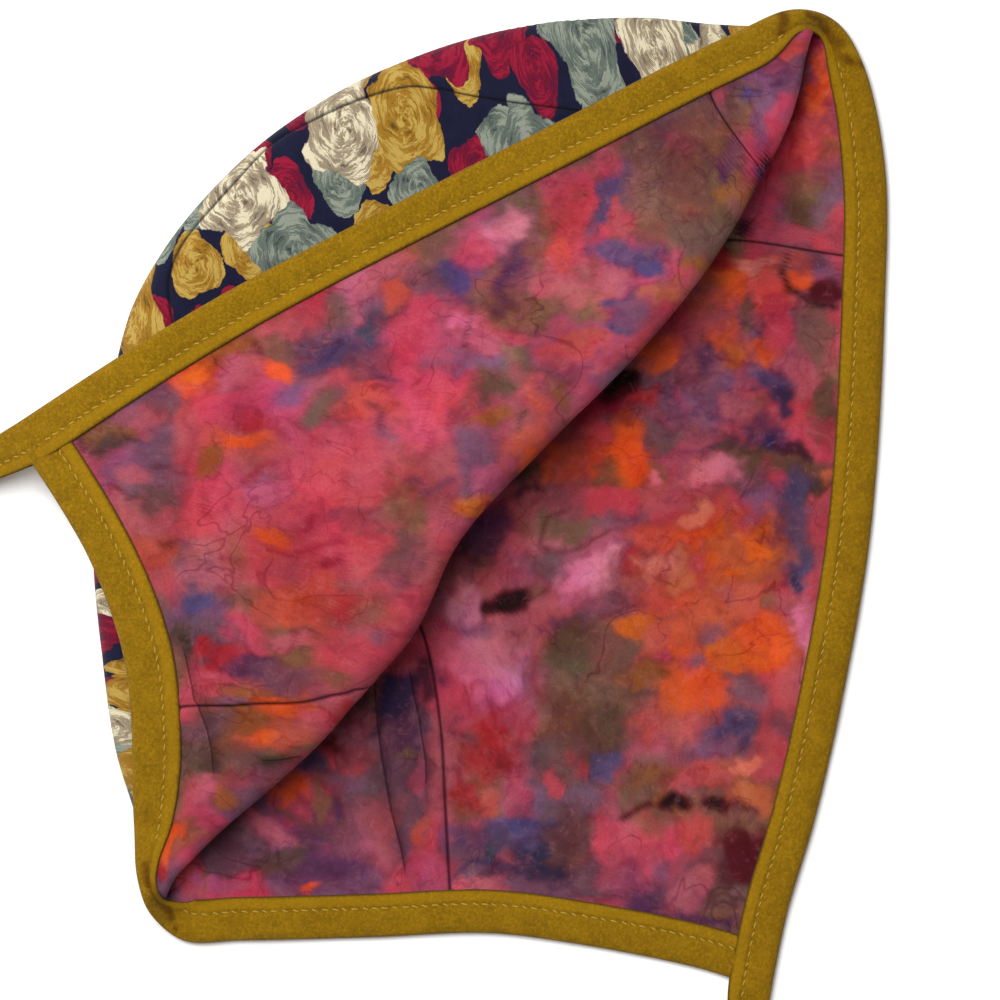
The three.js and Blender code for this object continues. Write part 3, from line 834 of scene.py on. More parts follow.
def edge_frames(edge, insets):
    """Points and normals over a cut edge's strip, for each stop and each inset."""
    line = edge.line
    inward = inward_of(line, edge.inward)
    points, normals = [], []
    for column in range(insets.shape[1]):
        place = line + inward * insets[:, column:column + 1]
        found = []
        for sheet, part in (("flap", slice(0, edge.turn + 1)),
                            ("ground", slice(edge.turn + 1, None))):
            along, across = place[part, 0], place[part, 1]
            w = CLOTH_SURFACE.w_at(sheet, along, across)
            found.append(CLOTH_SURFACE.at(along, w))
        points.append(np.vstack([f[0] for f in found]))
        normals.append(np.vstack([f[1] for f in found]))
    return np.stack(points, axis=1), np.stack(normals, axis=1)


# Where the cloth turns over and where the ties begin, strips are smoothed this many times, over
# this many stops to each side and with averages of this half width
SMOOTHINGS = 3
TURN_REACH, TURN_HALF = 26, 7
TIE_REACH, TIE_HALF = 16, 5


def calm_turn(edge, points, normals):
    """Blends the strip's heights and normals where the cloth turns over at a corner."""
    span = slice(max(edge.turn - TURN_REACH, 0), edge.turn + TURN_REACH)
    for values in (points[..., 2:], normals):
        soft = values.copy()
        for _ in range(SMOOTHINGS):
            soft = smoothed(soft, TURN_HALF)
        away = np.abs(np.arange(len(values)) - edge.turn).astype(float)
        share = (1 - smoothstep(away, TURN_REACH * 0.5, TURN_REACH))[:, None, None]
        values[span] = (values * (1 - share) + soft * share)[span]
    return points, unit(normals)


def strip_object(name, skin, uv, materials):
    """A mesh from rows of a closed profile, capped at both ends."""
    count, width = skin.shape[:2]
    vertices = over_floor(to_part(skin.reshape(-1, 3)), BINDING_CLEAR)
    i, j = np.meshgrid(np.arange(count - 1), np.arange(width), indexing="ij")
    a = (i * width + j).ravel()
    b = (i * width + (j + 1) % width).ravel()
    faces = np.stack([a, b, b + width, a + width], axis=1)
    half = width // 2
    for base, flip in ((0, True), ((count - 1) * width, False)):
        cap = np.array([(base + k, base + k + 1, base + width - 2 - k, base + width - 1 - k)
                        for k in range(half - 1)])
        faces = np.vstack([faces, cap[:, ::-1] if flip else cap])
    obj = new_object(name, vertices * MM, [faces], materials)
    add_attribute(obj, "cloth_place", uv.reshape(-1, 3) * MM)
    return obj


# Painted shade in the bindings' creases, and painted highlights where the first number is below 0:
# how dark (below 0, how bright), half width in pixels of the view, then the pixels that each runs
# through
CREASE_SHADING = [
    (0.80, 5.0, (777, 14), (783, 24), (778, 36)),
    (0.75, 4.0, (805, 17), (816, 21), (825, 30)),
    (0.70, 7.0, (828, 37), (840, 45), (845, 58)),
    (-0.9, 3.5, (846, 50), (856, 52), (862, 57)),
    (0.60, 3.0, (848, 63), (866, 66)),
    (0.50, 4.0, (853, 92), (857, 112)),
    (-0.5, 3.0, (840, 88), (845, 110)),
    (0.80, 4.0, (149, 861), (151, 880)),
    (0.70, 5.0, (156, 884), (162, 900), (171, 913)),
    (0.85, 2.0, (169, 908), (173, 920), (177, 931)),
    (0.45, 4.5, (151, 806), (153, 824)),
    (-0.4, 4.0, (158, 830), (152, 850)),
]

# How much of a binding's width shows at distances before and after the cloth turns over, in
# millimetres along its edge: at the turns the binding stands on its edge. Then the half width of
# the average that smooths it
FRONT_WIDTH = [
    (-185, 1.07), (-120, 1.0), (-22, 1.0), (-18, 0.98), (-14, 0.86), (-9, 0.62), (-6, 0.50),
    (-2, 0.50), (2, 0.60), (6.5, 0.76), (12, 0.88), (22, 0.95), (32, 1.0),
]
NECK_WIDTH = [
    (-110, 1.08), (-85, 1.07), (-60, 1.17), (-38, 1.15), (-30, 1.05), (-24, 0.90), (-18, 0.62),
    (-12, 0.44), (-7, 0.42), (-3, 0.75), (0, 1.0),
]
WIDTH_HALF = 4


def shown_width(edge, rows):
    """How much of the binding's width shows at each stop of an edge."""
    run = (np.arange(len(edge.line)) - edge.turn) * STOP
    places, shares = zip(*rows)
    return smoothed(np.interp(run, places, shares), WIDTH_HALF)


def strip_frames(edge, places):
    """Points and normals of a binding's profile at each stop of an edge."""
    insets = binding_profile()[:, 0]
    width = shown_width(edge, places)
    insets = BINDING_OUT + (insets[None] - BINDING_OUT) * width[:, None]
    points, normals = edge_frames(edge, insets)
    return (*calm_turn(edge, points, normals), width)


# The ties: their width and thickness as shares of the binding's, how far from the corner they
# are narrow and closed, and how much the closing takes off the space inside
TIE_WIDTH = 0.83
TIE_THIN = 0.72
TIE_NARROWS = (1.0, 11.0)
TIE_CLOSE = 7.0
TIE_SHUT = 0.9


def tie_frames(rows, side, insets):
    """Points and normals of a tie's profile, from the corner to its end."""
    line = smooth_line(rows, STOP)
    way = unit(np.gradient(line, axis=0) * side)
    inward = unit(np.stack([-way[:, 1], way[:, 0], np.zeros(len(way))], axis=1))
    normal = unit(np.cross(way, inward))
    middle = (BINDING_OUT + BINDING_IN) / 2
    narrow = 1 - (1 - TIE_WIDTH) * smoothstep(np.arange(len(line)) * STOP, *TIE_NARROWS)
    reach = middle + (np.asarray(insets)[None, :] - middle) * narrow[:, None]
    points = line[:, None, :] + inward[:, None, :] * reach[..., None]
    return points, np.repeat(normal[:, None, :], len(insets), axis=1)


def front_strip():
    """The front binding with both ties: points, normals, how closed it is and its width."""
    insets = binding_profile()[:, 0]
    points, normals, width = strip_frames(FRONT, FRONT_WIDTH)
    left = tie_frames(LEFT_TIE, -1, insets)
    right = tie_frames(RIGHT_TIE, 1, insets)
    all_points = np.concatenate([left[0][:0:-1], points, right[0][1:]])
    all_normals = np.concatenate([left[1][:0:-1], normals, right[1][1:]])
    n_left, n_right = len(left[0]) - 1, len(right[0]) - 1
    closed = np.concatenate([
        smoothstep(np.arange(n_left, 0, -1) * STOP, 0.0, TIE_CLOSE),
        np.zeros(len(points)),
        smoothstep(np.arange(1, n_right + 1) * STOP, 0.0, TIE_CLOSE),
    ])
    for _ in range(SMOOTHINGS):
        for middle in (n_left, len(all_points) - n_right):
            span = slice(max(middle - TIE_REACH, 0), middle + TIE_REACH)
            all_points[span] = smoothed(all_points[span], TIE_HALF)
            all_normals[span] = smoothed(all_normals[span], TIE_HALF)
    width = np.concatenate([np.ones(n_left), width, np.ones(n_right)])
    return all_points, unit(all_normals), closed, width


# How far from the corners the neck binding ends, and its thickness as a share of the front one's
NECK_START = 5.0
NECK_THIN = 0.80


def neck_strip():
    """The neck binding, its ends tucked under the front binding."""
    points, normals, width = strip_frames(NECK, NECK_WIDTH)
    first = round(NECK_START / STOP)
    last = len(points) - first
    return points[first:last], normals[first:last], np.zeros(last - first), width[first:last]


# Small crumples along the bindings: height, length of a wave and phase
CRUMPLES = ((0.10, 9.0, 0.3), (0.06, 3.1, 1.7))
CRUMPLE_FADES = (8.5, 3.0)

# How much thicker a binding is where it stands on its edge, and the cloth that its turn takes up
TURN_THICKENS = 0.45


def bind(name, strip, node, materials, sizes, thin=1.0):
    """A binding and its stitches."""
    points, normals, closed, width = strip
    profile = binding_profile()
    outside = 2 * HALF_COUNT
    heights = np.tile(profile[:, 1], (len(points), 1)) * thin
    shut = closed[:, None]
    heights[:, :outside] *= 1 - (1 - TIE_THIN) * shut
    heights[:, outside:] *= 1 - TIE_SHUT * shut
    run = run_along(points[:, HALF_COUNT // 2])
    crumple = sum(high * wavy(run / long, phase) for high, long, phase in CRUMPLES)
    lift = crumple[:, None] * np.sign(profile[None, :, 1]) * (np.arange(len(profile)) < outside)
    heights = heights + lift * smoothstep(profile[None, :, 0], *CRUMPLE_FADES)
    heights[:, :outside] *= 1 + TURN_THICKENS * np.clip(1 - width, 0, 1)[:, None]
    skin = points + normals * heights[..., None]
    place = np.zeros((*heights.shape, 3))
    place[..., 0] = run[:, None]
    place[..., 1] = profile[None, :, 0]
    place[..., 2] = np.sign(profile[None, :, 1])
    obj = strip_object(name, skin, place, materials[:1])
    add_attribute(obj, "crease_shading", painted_crease_shading(points).ravel())
    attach(obj, "root")
    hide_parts(node)
    stitches = sew(f"{name}_stitches", skin, normals, width, materials[1:], sizes)
    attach(stitches, "root")


def painted_crease_shading(points):
    """How much painted shade (below 0, painted highlight) the creases put on a binding at each
    point.
    """
    right, down = to_view(to_part(points.reshape(-1, 3)))
    dark = np.zeros(len(right))
    for depth, half, *stops in CREASE_SHADING:
        dark += depth * smoothstep(line_distance(right, down, stops), 1.7 * half, 0.2 * half)
    return np.clip(dark, -1, 1)


def wavy(x, phase):
    """A gentle wave that doesn't repeat over an edge's length."""
    return np.sin(x + phase) * 0.6 + np.sin(x * 1.71 + phase * 2.3) * 0.4


# A stitch as rings: where each lies along it and how thick it is there, with the ring's sides
STITCH_RINGS = [(-1.0, 0.35), (-0.82, 0.8), (-0.35, 1.0), (0.35, 1.0), (0.82, 0.8), (1.0, 0.35)]
STITCH_SIDES = 7
STITCH_FLAT = 0.8

# How stitches lie: their slant and how much it varies, how much they stray along the row, how
# far ahead the row's direction is taken, and the width of binding from which they show
STITCH_SLANT = math.radians(16)
SLANT_VARIES = 0.7
STITCH_STRAYS = 0.18
STITCH_AHEAD = 0.4
STITCH_SHOWS = 0.8

# How deep a stitch sinks at its middle, and how far its ends rise out of that
STITCH_SINK = 0.08
STITCH_BOW = 0.18


def at_places(values, run, places):
    """Points or directions of a line at places along it."""
    return np.stack([np.interp(places, run, values[:, k]) for k in range(3)], axis=1)


def sew(name, skin, normals, width, materials, sizes):
    """Rows of stitches on both faces of a binding, as one mesh of small slanted capsules."""
    vertices, faces = [], []
    under = 2 * HALF_COUNT - 1 - STITCH_COLUMN
    for column, sign in ((STITCH_COLUMN, 1), (under, -1)):
        line = skin[:, column]
        run = run_along(line)
        pitch = sizes.stitch_pitch / MM
        places = np.arange(pitch, run[-1] - pitch / 2, pitch)
        at = at_places(line, run, places)
        up = unit(at_places(normals[:, column], run, places)) * sign
        way = unit(at_places(line, run, places + STITCH_AHEAD) - at)
        for k in np.flatnonzero(np.interp(places, run, width) > STITCH_SHOWS):
            slant = STITCH_SLANT * (1 + SLANT_VARIES * math.sin(2.4 * k))
            centre = at[k] + way[k] * STITCH_STRAYS * math.sin(1.7 * k)
            add_stitch(vertices, faces, centre, way[k], up[k], slant * sign, sizes)
    vertices = over_floor(to_part(np.array(vertices)), STITCH_CLEAR)
    return new_object(name, vertices * MM, [faces], materials)


def add_stitch(vertices, faces, centre, forward, normal, slant, sizes):
    """One capsule, lying in the groove and slanted across the stitch line."""
    half_length = sizes.stitch_length / MM / 2
    radius = sizes.thread_width / MM / 2
    side = unit(np.cross(normal, forward))
    axis = forward * math.cos(slant) + side * math.sin(slant)
    across = np.cross(normal, axis)
    base = len(vertices)
    for place, swell in STITCH_RINGS:
        sink = STITCH_SINK - STITCH_BOW * place * place
        for k in range(STITCH_SIDES):
            turn = 2 * math.pi * k / STITCH_SIDES
            ring = across * math.cos(turn) + normal * math.sin(turn) * STITCH_FLAT
            vertices.append(centre + axis * place * half_length + normal * sink
                            + ring * radius * swell)
    for r in range(len(STITCH_RINGS) - 1):
        for k in range(STITCH_SIDES):
            a = base + r * STITCH_SIDES + k
            b = base + r * STITCH_SIDES + (k + 1) % STITCH_SIDES
            faces.append((a, b, b + STITCH_SIDES, a + STITCH_SIDES))
    first, last = base, base + (len(STITCH_RINGS) - 1) * STITCH_SIDES
    for start, flip in ((first, True), (last, False)):
        for k in range(1, STITCH_SIDES - 2, 2):
            quad = (start, start + k, start + k + 1, start + k + 2)
            faces.append(quad[::-1] if flip else quad)


def linear(red, green, blue):
    """A colour as it is seen, from 0 to 255, as the light's own shares."""
    seen = [value / 255 for value in (red, green, blue)]
    return tuple(value / 12.92 if value <= 0.04045 else ((value + 0.055) / 1.055) ** 2.4
                 for value in seen)


# Cells to each side of the noise before it repeats
NOISE_CELLS = 128


def value_noise(x, y, seed):
    """Smooth noise from -1 to 1 with a cell size of 1."""
    lattice = np.random.default_rng(seed).uniform(-1, 1, (NOISE_CELLS, NOISE_CELLS))
    ix, iy = np.floor(x).astype(int), np.floor(y).astype(int)
    fx, fy = x - ix, y - iy
    fx, fy = fx * fx * (3 - 2 * fx), fy * fy * (3 - 2 * fy)

    def at(i, j):
        return lattice[(ix + i) % NOISE_CELLS, (iy + j) % NOISE_CELLS]

    return ((at(0, 0) * (1 - fx) + at(1, 0) * fx) * (1 - fy)
            + (at(0, 1) * (1 - fx) + at(1, 1) * fx) * fy)


def cloudy(x, y, size, seed, octaves=3):
    """Several octaves of smooth noise, the widest of this size."""
    total = np.zeros(np.shape(x))
    for k in range(octaves):
        total += value_noise(x / size * 2 ** k, y / size * 2 ** k, seed + k) * 0.5 ** k
    return total


# The dyes of the lining as they are seen, from 0 to 255
DYES = {
    "rose": (214, 78, 108),
    "blush": (196, 98, 122),
    "salmon": (228, 92, 96),
    "coral": (212, 92, 84),
    "orange": (240, 98, 40),
    "amber": (238, 116, 32),
    "petal": (236, 132, 172),
    "shell": (240, 144, 138),
    "ochre": (160, 98, 48),
    "peach": (206, 118, 84),
    "tan": (140, 102, 84),
    "taupe": (124, 90, 84),
    "olive": (100, 80, 66),
    "moss": (88, 68, 56),
    "mauve": (150, 80, 108),
    "orchid": (192, 88, 130),
    "lilac": (134, 90, 126),
    "grey": (118, 84, 98),
    "blue": (88, 76, 130),
    "navy": (48, 44, 96),
    "teal": (58, 84, 116),
    "purple": (96, 52, 96),
    "plum": (70, 26, 52),
    "red": (190, 44, 58),
    "crimson": (160, 24, 60),
    "maroon": (88, 12, 30),
    "black": (30, 6, 12),
}

# Pools of dye on the flap and on the ground, in the order in which they run into each other:
# dye, then the pixel of the view at its centre, its half width and half height, and its turn in
# degrees where it has one
FLAP_POOLS = [
    ("olive", 212, 745, 50, 46), ("ochre", 250, 722, 50, 30, -15), ("tan", 290, 745, 40, 20, -20),
    ("rose", 350, 480, 70, 60), ("lilac", 150, 480, 46, 25), ("blush", 135, 425, 30, 18),
    ("ochre", 105, 440, 26, 10, 5), ("moss", 110, 449, 18, 6, 8), ("grey", 172, 500, 22, 14),
    ("blush", 140, 518, 40, 22), ("coral", 160, 552, 30, 20), ("orange", 190, 378, 30, 22),
    ("amber", 197, 374, 14, 10), ("ochre", 232, 354, 36, 16, -10), ("rose", 232, 405, 40, 20),
    ("taupe", 296, 350, 26, 14), ("taupe", 328, 402, 12, 22, 20), ("orange", 288, 375, 12, 11),
    ("coral", 245, 445, 45, 24), ("ochre", 215, 462, 12, 18, 10), ("orange", 252, 438, 22, 10),
    ("red", 270, 420, 24, 9, 20), ("orchid", 268, 492, 26, 15), ("orange", 281, 540, 16, 12),
    ("orange", 318, 583, 28, 15, -15), ("coral", 300, 606, 60, 20), ("lilac", 205, 612, 30, 24),
    ("blue", 200, 603, 14, 13), ("grey", 212, 640, 30, 18), ("moss", 195, 648, 8, 14),
    ("red", 226, 654, 22, 11, -35), ("purple", 253, 664, 18, 12), ("lilac", 285, 672, 26, 16),
    ("rose", 350, 645, 55, 28), ("blush", 290, 632, 30, 12), ("lilac", 381, 634, 13, 10),
    ("red", 344, 608, 8, 14, 20), ("mauve", 398, 560, 18, 30, 20), ("grey", 402, 548, 10, 20, 20),
    ("lilac", 345, 340, 42, 26), ("blue", 345, 350, 30, 16), ("teal", 376, 332, 13, 14),
    ("lilac", 425, 300, 46, 28, -10), ("blue", 462, 284, 26, 22, 20),
    ("purple", 400, 322, 18, 12, 30), ("taupe", 340, 306, 18, 18), ("coral", 394, 298, 13, 16),
    ("taupe", 440, 254, 12, 22, 30), ("orchid", 484, 238, 28, 26), ("rose", 470, 258, 16, 20),
    ("mauve", 520, 246, 20, 48, 8), ("purple", 516, 282, 14, 34, 5),
    ("rose", 568, 248, 26, 40, 20), ("salmon", 560, 258, 16, 22), ("rose", 590, 214, 14, 20, 10),
    ("tan", 545, 300, 28, 26), ("tan", 516, 356, 22, 16), ("blush", 484, 340, 26, 26),
    ("rose", 420, 350, 44, 34), ("rose", 405, 405, 55, 40), ("salmon", 378, 400, 34, 24),
    ("olive", 494, 392, 44, 24, -28), ("olive", 560, 366, 38, 16, 15), ("ochre", 566, 398, 12, 16),
    ("blush", 606, 277, 24, 18), ("blue", 630, 256, 26, 16, 20), ("blue", 643, 270, 14, 10),
    ("orchid", 588, 348, 44, 32, -15), ("salmon", 588, 348, 28, 20, -10),
    ("coral", 584, 342, 14, 9), ("blue", 613, 328, 16, 7, 25), ("blue", 601, 304, 12, 7),
    ("lilac", 622, 312, 16, 18), ("coral", 540, 402, 14, 20, -10), ("ochre", 486, 428, 30, 8, -10),
    ("coral", 522, 452, 32, 14, -40), ("orange", 533, 458, 18, 9, -40),
    ("orchid", 490, 470, 30, 20), ("amber", 464, 503, 24, 15, -10), ("red", 486, 502, 5, 11, 20),
    ("rose", 345, 555, 50, 34), ("tan", 664, 196, 52, 48), ("taupe", 690, 238, 36, 30),
    ("taupe", 636, 150, 36, 20, -25), ("blush", 680, 140, 20, 10, 10), ("tan", 700, 130, 30, 22),
    ("lilac", 724, 158, 20, 14), ("purple", 726, 172, 16, 6, 10), ("ochre", 726, 190, 20, 12),
    ("ochre", 719, 130, 9, 11), ("blue", 602, 212, 10, 24, 10), ("ochre", 690, 272, 14, 10, -20),
    ("peach", 660, 300, 22, 14, -20), ("tan", 737, 112, 26, 28, -20),
    ("taupe", 748, 88, 20, 12, -25), ("lilac", 762, 124, 9, 38, 20), ("blue", 752, 96, 9, 12),
    ("mauve", 782, 60, 18, 14, -20), ("purple", 782, 81, 16, 5, -8), ("rose", 785, 108, 10, 13),
    ("blush", 778, 138, 8, 10), ("coral", 798, 46, 9, 16), ("blue", 755, 172, 6, 12, 10),
    ("grey", 205, 722, 32, 14), ("lilac", 236, 708, 22, 6), ("olive", 195, 752, 20, 20),
    ("coral", 290, 728, 42, 20, -15), ("orange", 296, 704, 46, 9, -5),
    ("rose", 334, 708, 26, 10, -15), ("orange", 258, 740, 24, 12, -20),
    ("red", 338, 698, 34, 5, -8), ("taupe", 252, 766, 26, 12, -10), ("moss", 274, 758, 18, 6, -15),
    ("moss", 214, 762, 8, 14, -20), ("blush", 205, 790, 22, 14), ("ochre", 230, 797, 16, 14),
    ("ochre", 190, 836, 16, 26, 25), ("rose", 209, 822, 14, 10, -40),
    ("petal", 470, 326, 26, 14, -10), ("blush", 552, 284, 30, 24), ("rose", 428, 396, 40, 26),
    ("blush", 140, 478, 18, 12), ("petal", 504, 232, 26, 20), ("blush", 608, 284, 20, 14),
    ("orange", 184, 842, 9, 18, 25), ("orange", 172, 864, 9, 12, 30), ("red", 164, 876, 7, 9),
]
GROUND_POOLS = [
    ("purple", 300, 850, 80, 42), ("olive", 268, 858, 50, 26), ("grey", 372, 800, 30, 60),
    ("blush", 600, 560, 90, 60), ("blush", 520, 640, 50, 60), ("olive", 340, 700, 40, 40),
    ("maroon", 236, 830, 30, 14, -35), ("maroon", 330, 740, 16, 26, -40),
    ("red", 800, 120, 9, 50, 14), ("orange", 818, 92, 13, 34), ("crimson", 815, 46, 11, 18, 8),
    ("salmon", 812, 142, 20, 24), ("peach", 822, 146, 10, 14), ("tan", 804, 190, 34, 20),
    ("olive", 792, 208, 22, 14, 20), ("lilac", 832, 196, 9, 22), ("orchid", 778, 230, 34, 13, 10),
    ("rose", 828, 246, 14, 8), ("plum", 742, 224, 13, 11), ("orange", 752, 284, 48, 30, 10),
    ("red", 718, 258, 18, 12), ("salmon", 768, 300, 20, 30, 10), ("orange", 724, 342, 22, 26, 20),
    ("amber", 734, 352, 10, 14, 20), ("orange", 768, 352, 22, 16), ("coral", 700, 300, 16, 26, 10),
    ("orange", 800, 276, 12, 16), ("coral", 788, 258, 18, 9), ("rose", 784, 330, 12, 24),
    ("taupe", 818, 342, 16, 30), ("blush", 800, 372, 16, 24, 20), ("olive", 822, 402, 18, 36),
    ("taupe", 752, 318, 8, 26, 15), ("lilac", 708, 395, 34, 40), ("mauve", 690, 362, 22, 30, -20),
    ("purple", 706, 350, 10, 22, 20), ("blue", 764, 376, 22, 14, 10), ("navy", 772, 402, 17, 14),
    ("blush", 730, 410, 22, 18), ("orange", 655, 356, 20, 16, -20), ("red", 640, 398, 30, 14, -20),
    ("ochre", 632, 418, 14, 8), ("mauve", 650, 428, 52, 20, 5), ("crimson", 598, 416, 30, 16, -10),
    ("orange", 570, 460, 46, 22, -15), ("amber", 620, 462, 16, 34, 10), ("moss", 524, 470, 18, 18),
    ("orchid", 700, 466, 44, 34), ("blush", 655, 492, 48, 26, -15), ("grey", 664, 440, 20, 13),
    ("lilac", 610, 520, 40, 20, -10), ("tan", 568, 530, 24, 14), ("olive", 742, 458, 28, 24),
    ("olive", 792, 472, 34, 24), ("purple", 762, 430, 20, 22), ("plum", 784, 450, 20, 10, 20),
    ("peach", 816, 480, 12, 11), ("moss", 794, 496, 24, 8, -10), ("navy", 752, 440, 10, 14),
    ("grey", 738, 490, 20, 16), ("blue", 788, 532, 24, 48, -10), ("blue", 802, 575, 12, 32, 8),
    ("navy", 800, 592, 6, 16), ("lilac", 752, 505, 16, 16), ("blush", 820, 620, 16, 22),
    ("orange", 700, 612, 66, 52), ("coral", 668, 586, 34, 34), ("orange", 736, 555, 46, 46),
    ("amber", 736, 556, 36, 36), ("orange", 680, 532, 30, 22, -20), ("red", 642, 560, 12, 14),
    ("peach", 684, 574, 18, 24), ("orange", 762, 645, 42, 26), ("amber", 728, 664, 34, 16, 10),
    ("orchid", 590, 572, 46, 26, -25), ("mauve", 550, 568, 30, 18, -20),
    ("grey", 552, 566, 20, 12), ("purple", 474, 552, 20, 50, 42), ("mauve", 450, 590, 16, 30, 30),
    ("blush", 540, 610, 34, 20, -10), ("lilac", 572, 620, 26, 12, -15),
    ("mauve", 600, 600, 34, 10, -15), ("blue", 478, 634, 17, 13), ("orchid", 502, 668, 36, 34),
    ("purple", 446, 682, 13, 9), ("taupe", 604, 656, 44, 42), ("olive", 568, 656, 20, 34),
    ("ochre", 640, 678, 38, 11, 5), ("amber", 640, 618, 30, 12, -15), ("orange", 680, 642, 30, 30),
    ("coral", 650, 640, 14, 30, 20), ("olive", 598, 732, 34, 32), ("tan", 560, 700, 14, 24),
    ("coral", 668, 720, 42, 24), ("orange", 690, 690, 40, 20, 15), ("rose", 478, 700, 42, 50),
    ("red", 482, 758, 20, 38, 15), ("red", 458, 790, 18, 18), ("coral", 482, 794, 14, 14),
    ("grey", 548, 762, 34, 32), ("lilac", 562, 796, 36, 22), ("rose", 548, 780, 10, 14),
    ("blue", 604, 758, 18, 12), ("lilac", 720, 746, 34, 17), ("blue", 732, 724, 26, 15, 15),
    ("blush", 792, 700, 28, 40), ("coral", 706, 778, 50, 18), ("ochre", 650, 776, 30, 12),
    ("peach", 752, 790, 36, 15), ("blue", 490, 838, 44, 24, -5), ("navy", 540, 868, 28, 22, 20),
    ("blue", 520, 830, 34, 12, -10), ("teal", 487, 852, 10, 12), ("grey", 572, 826, 28, 16, 20),
    ("purple", 500, 874, 30, 10), ("rose", 624, 848, 34, 44), ("orchid", 620, 880, 24, 14),
    ("mauve", 692, 880, 34, 34), ("coral", 690, 830, 20, 24), ("maroon", 736, 858, 26, 36, 10),
    ("maroon", 757, 832, 16, 18), ("taupe", 728, 902, 20, 14), ("purple", 640, 902, 18, 12),
    ("purple", 704, 922, 34, 7, 12), ("navy", 402, 702, 24, 24), ("navy", 386, 692, 10, 12),
    ("purple", 412, 740, 18, 26), ("taupe", 414, 764, 17, 9, 15), ("lilac", 400, 800, 16, 38),
    ("orchid", 424, 790, 6, 26), ("coral", 426, 834, 10, 20), ("orchid", 430, 874, 18, 18),
    ("mauve", 355, 728, 20, 36, 10), ("blue", 310, 762, 22, 20, 30),
    ("orange", 296, 795, 18, 13, 15), ("tan", 325, 806, 12, 20), ("lilac", 350, 782, 24, 14),
    ("mauve", 360, 832, 22, 32), ("purple", 338, 818, 7, 11), ("blush", 270, 828, 24, 16, 15),
    ("grey", 246, 848, 42, 20), ("grey", 240, 866, 26, 10, 10), ("blush", 246, 888, 24, 7),
    ("salmon", 192, 880, 15, 13, 20), ("crimson", 176, 896, 9, 4), ("orchid", 220, 884, 28, 9),
    ("orange", 320, 889, 10, 5), ("maroon", 826, 292, 14, 13), ("petal", 494, 666, 40, 38),
    ("petal", 592, 574, 34, 18, -20), ("petal", 702, 478, 38, 18), ("petal", 808, 640, 14, 42),
    ("shell", 664, 566, 20, 15), ("coral", 656, 534, 34, 14, -20), ("shell", 690, 516, 18, 9, -20),
    ("rose", 606, 502, 34, 22), ("orange", 624, 454, 20, 26, 15), ("petal", 462, 614, 20, 16, 30),
    ("blush", 806, 372, 16, 18), ("shell", 752, 262, 22, 9, 10), ("blush", 690, 884, 26, 20),
    ("blush", 384, 830, 26, 34), ("coral", 744, 600, 26, 24), ("amber", 738, 552, 30, 30),
    ("petal", 640, 470, 8, 8), ("blue", 545, 845, 34, 20, 10), ("shell", 748, 766, 24, 10),
    ("grey", 576, 850, 20, 24), ("lilac", 468, 862, 20, 18), ("navy", 541, 872, 20, 12, 15),
    ("teal", 487, 852, 9, 11),
]

# Lines and blots where the dye ran on the ground and on the flap, with a few lines of painted shade
# among them: dye, strength, half width in pixels of the view, then the pixels that each runs
# through
GROUND_STAINS_AND_SHADE = [
    ("maroon", 0.75, 1.7, (569, 510), (546, 519), (539, 549), (558, 554), (582, 547), (607, 531)),
    ("black", 0.95, 3.0, (785, 254), (783, 273), (790, 288), (804, 298), (821, 307), (838, 309)),
    ("maroon", 0.95, 12.0, (822, 293), (832, 293)),
    ("maroon", 0.92, 9.0, (488, 607), (500, 605)),
    ("maroon", 0.92, 13.0, (508, 602), (520, 598)),
    ("black", 0.85, 5.0, (486, 608), (498, 608), (503, 604)),
    ("black", 0.92, 9.0, (508, 604), (520, 597)),
    ("maroon", 0.95, 13.0, (608, 391), (630, 380)),
    ("black", 0.97, 7.0, (608, 389), (618, 378), (632, 378)),
    ("maroon", 0.97, 3.4, (624, 818), (634, 811), (648, 805), (664, 804)),
    ("ochre", 0.55, 10.0, (664, 800), (684, 806)),
    ("maroon", 0.9, 8.0, (666, 804), (676, 798), (686, 803)),
    ("black", 0.97, 5.6, (668, 804), (675, 798), (681, 804)),
    ("maroon", 0.9, 7.5, (709, 803), (722, 806)),
    ("black", 0.97, 5.2, (712, 803), (717, 807), (722, 804)),
    ("maroon", 0.95, 3.4, (724, 803), (740, 803), (756, 812)),
    ("maroon", 0.85, 14.0, (738, 842), (744, 868)),
    ("maroon", 0.6, 1.6, (601, 616), (623, 609), (642, 602)),
    ("olive", 0.8, 1.8, (600, 691), (623, 689), (652, 695)),
    ("crimson", 0.6, 1.6, (537, 652), (533, 676), (541, 705), (522, 728), (514, 755)),
    ("navy", 0.7, 2.4, (452, 878), (476, 860), (495, 862), (519, 870), (530, 879)),
    ("purple", 0.7, 1.6, (679, 451), (700, 450), (722, 443)),
    ("purple", 0.7, 1.6, (671, 418), (700, 414), (733, 420)),
    ("plum", 0.85, 3.0, (516, 497), (524, 487), (536, 484), (546, 489)),
    ("olive", 0.75, 2.0, (280, 810), (306, 824), (332, 840)),
    # A painted shadow in the dark hollow under the flap's edge, right of the tuck, drawn as a
    # plum-coloured line
    ("plum", 0.9, 7.0, (424, 664), (428, 694)),
    ("ochre", 0.8, 1.8, (203, 872), (205, 884), (204, 900)),
]
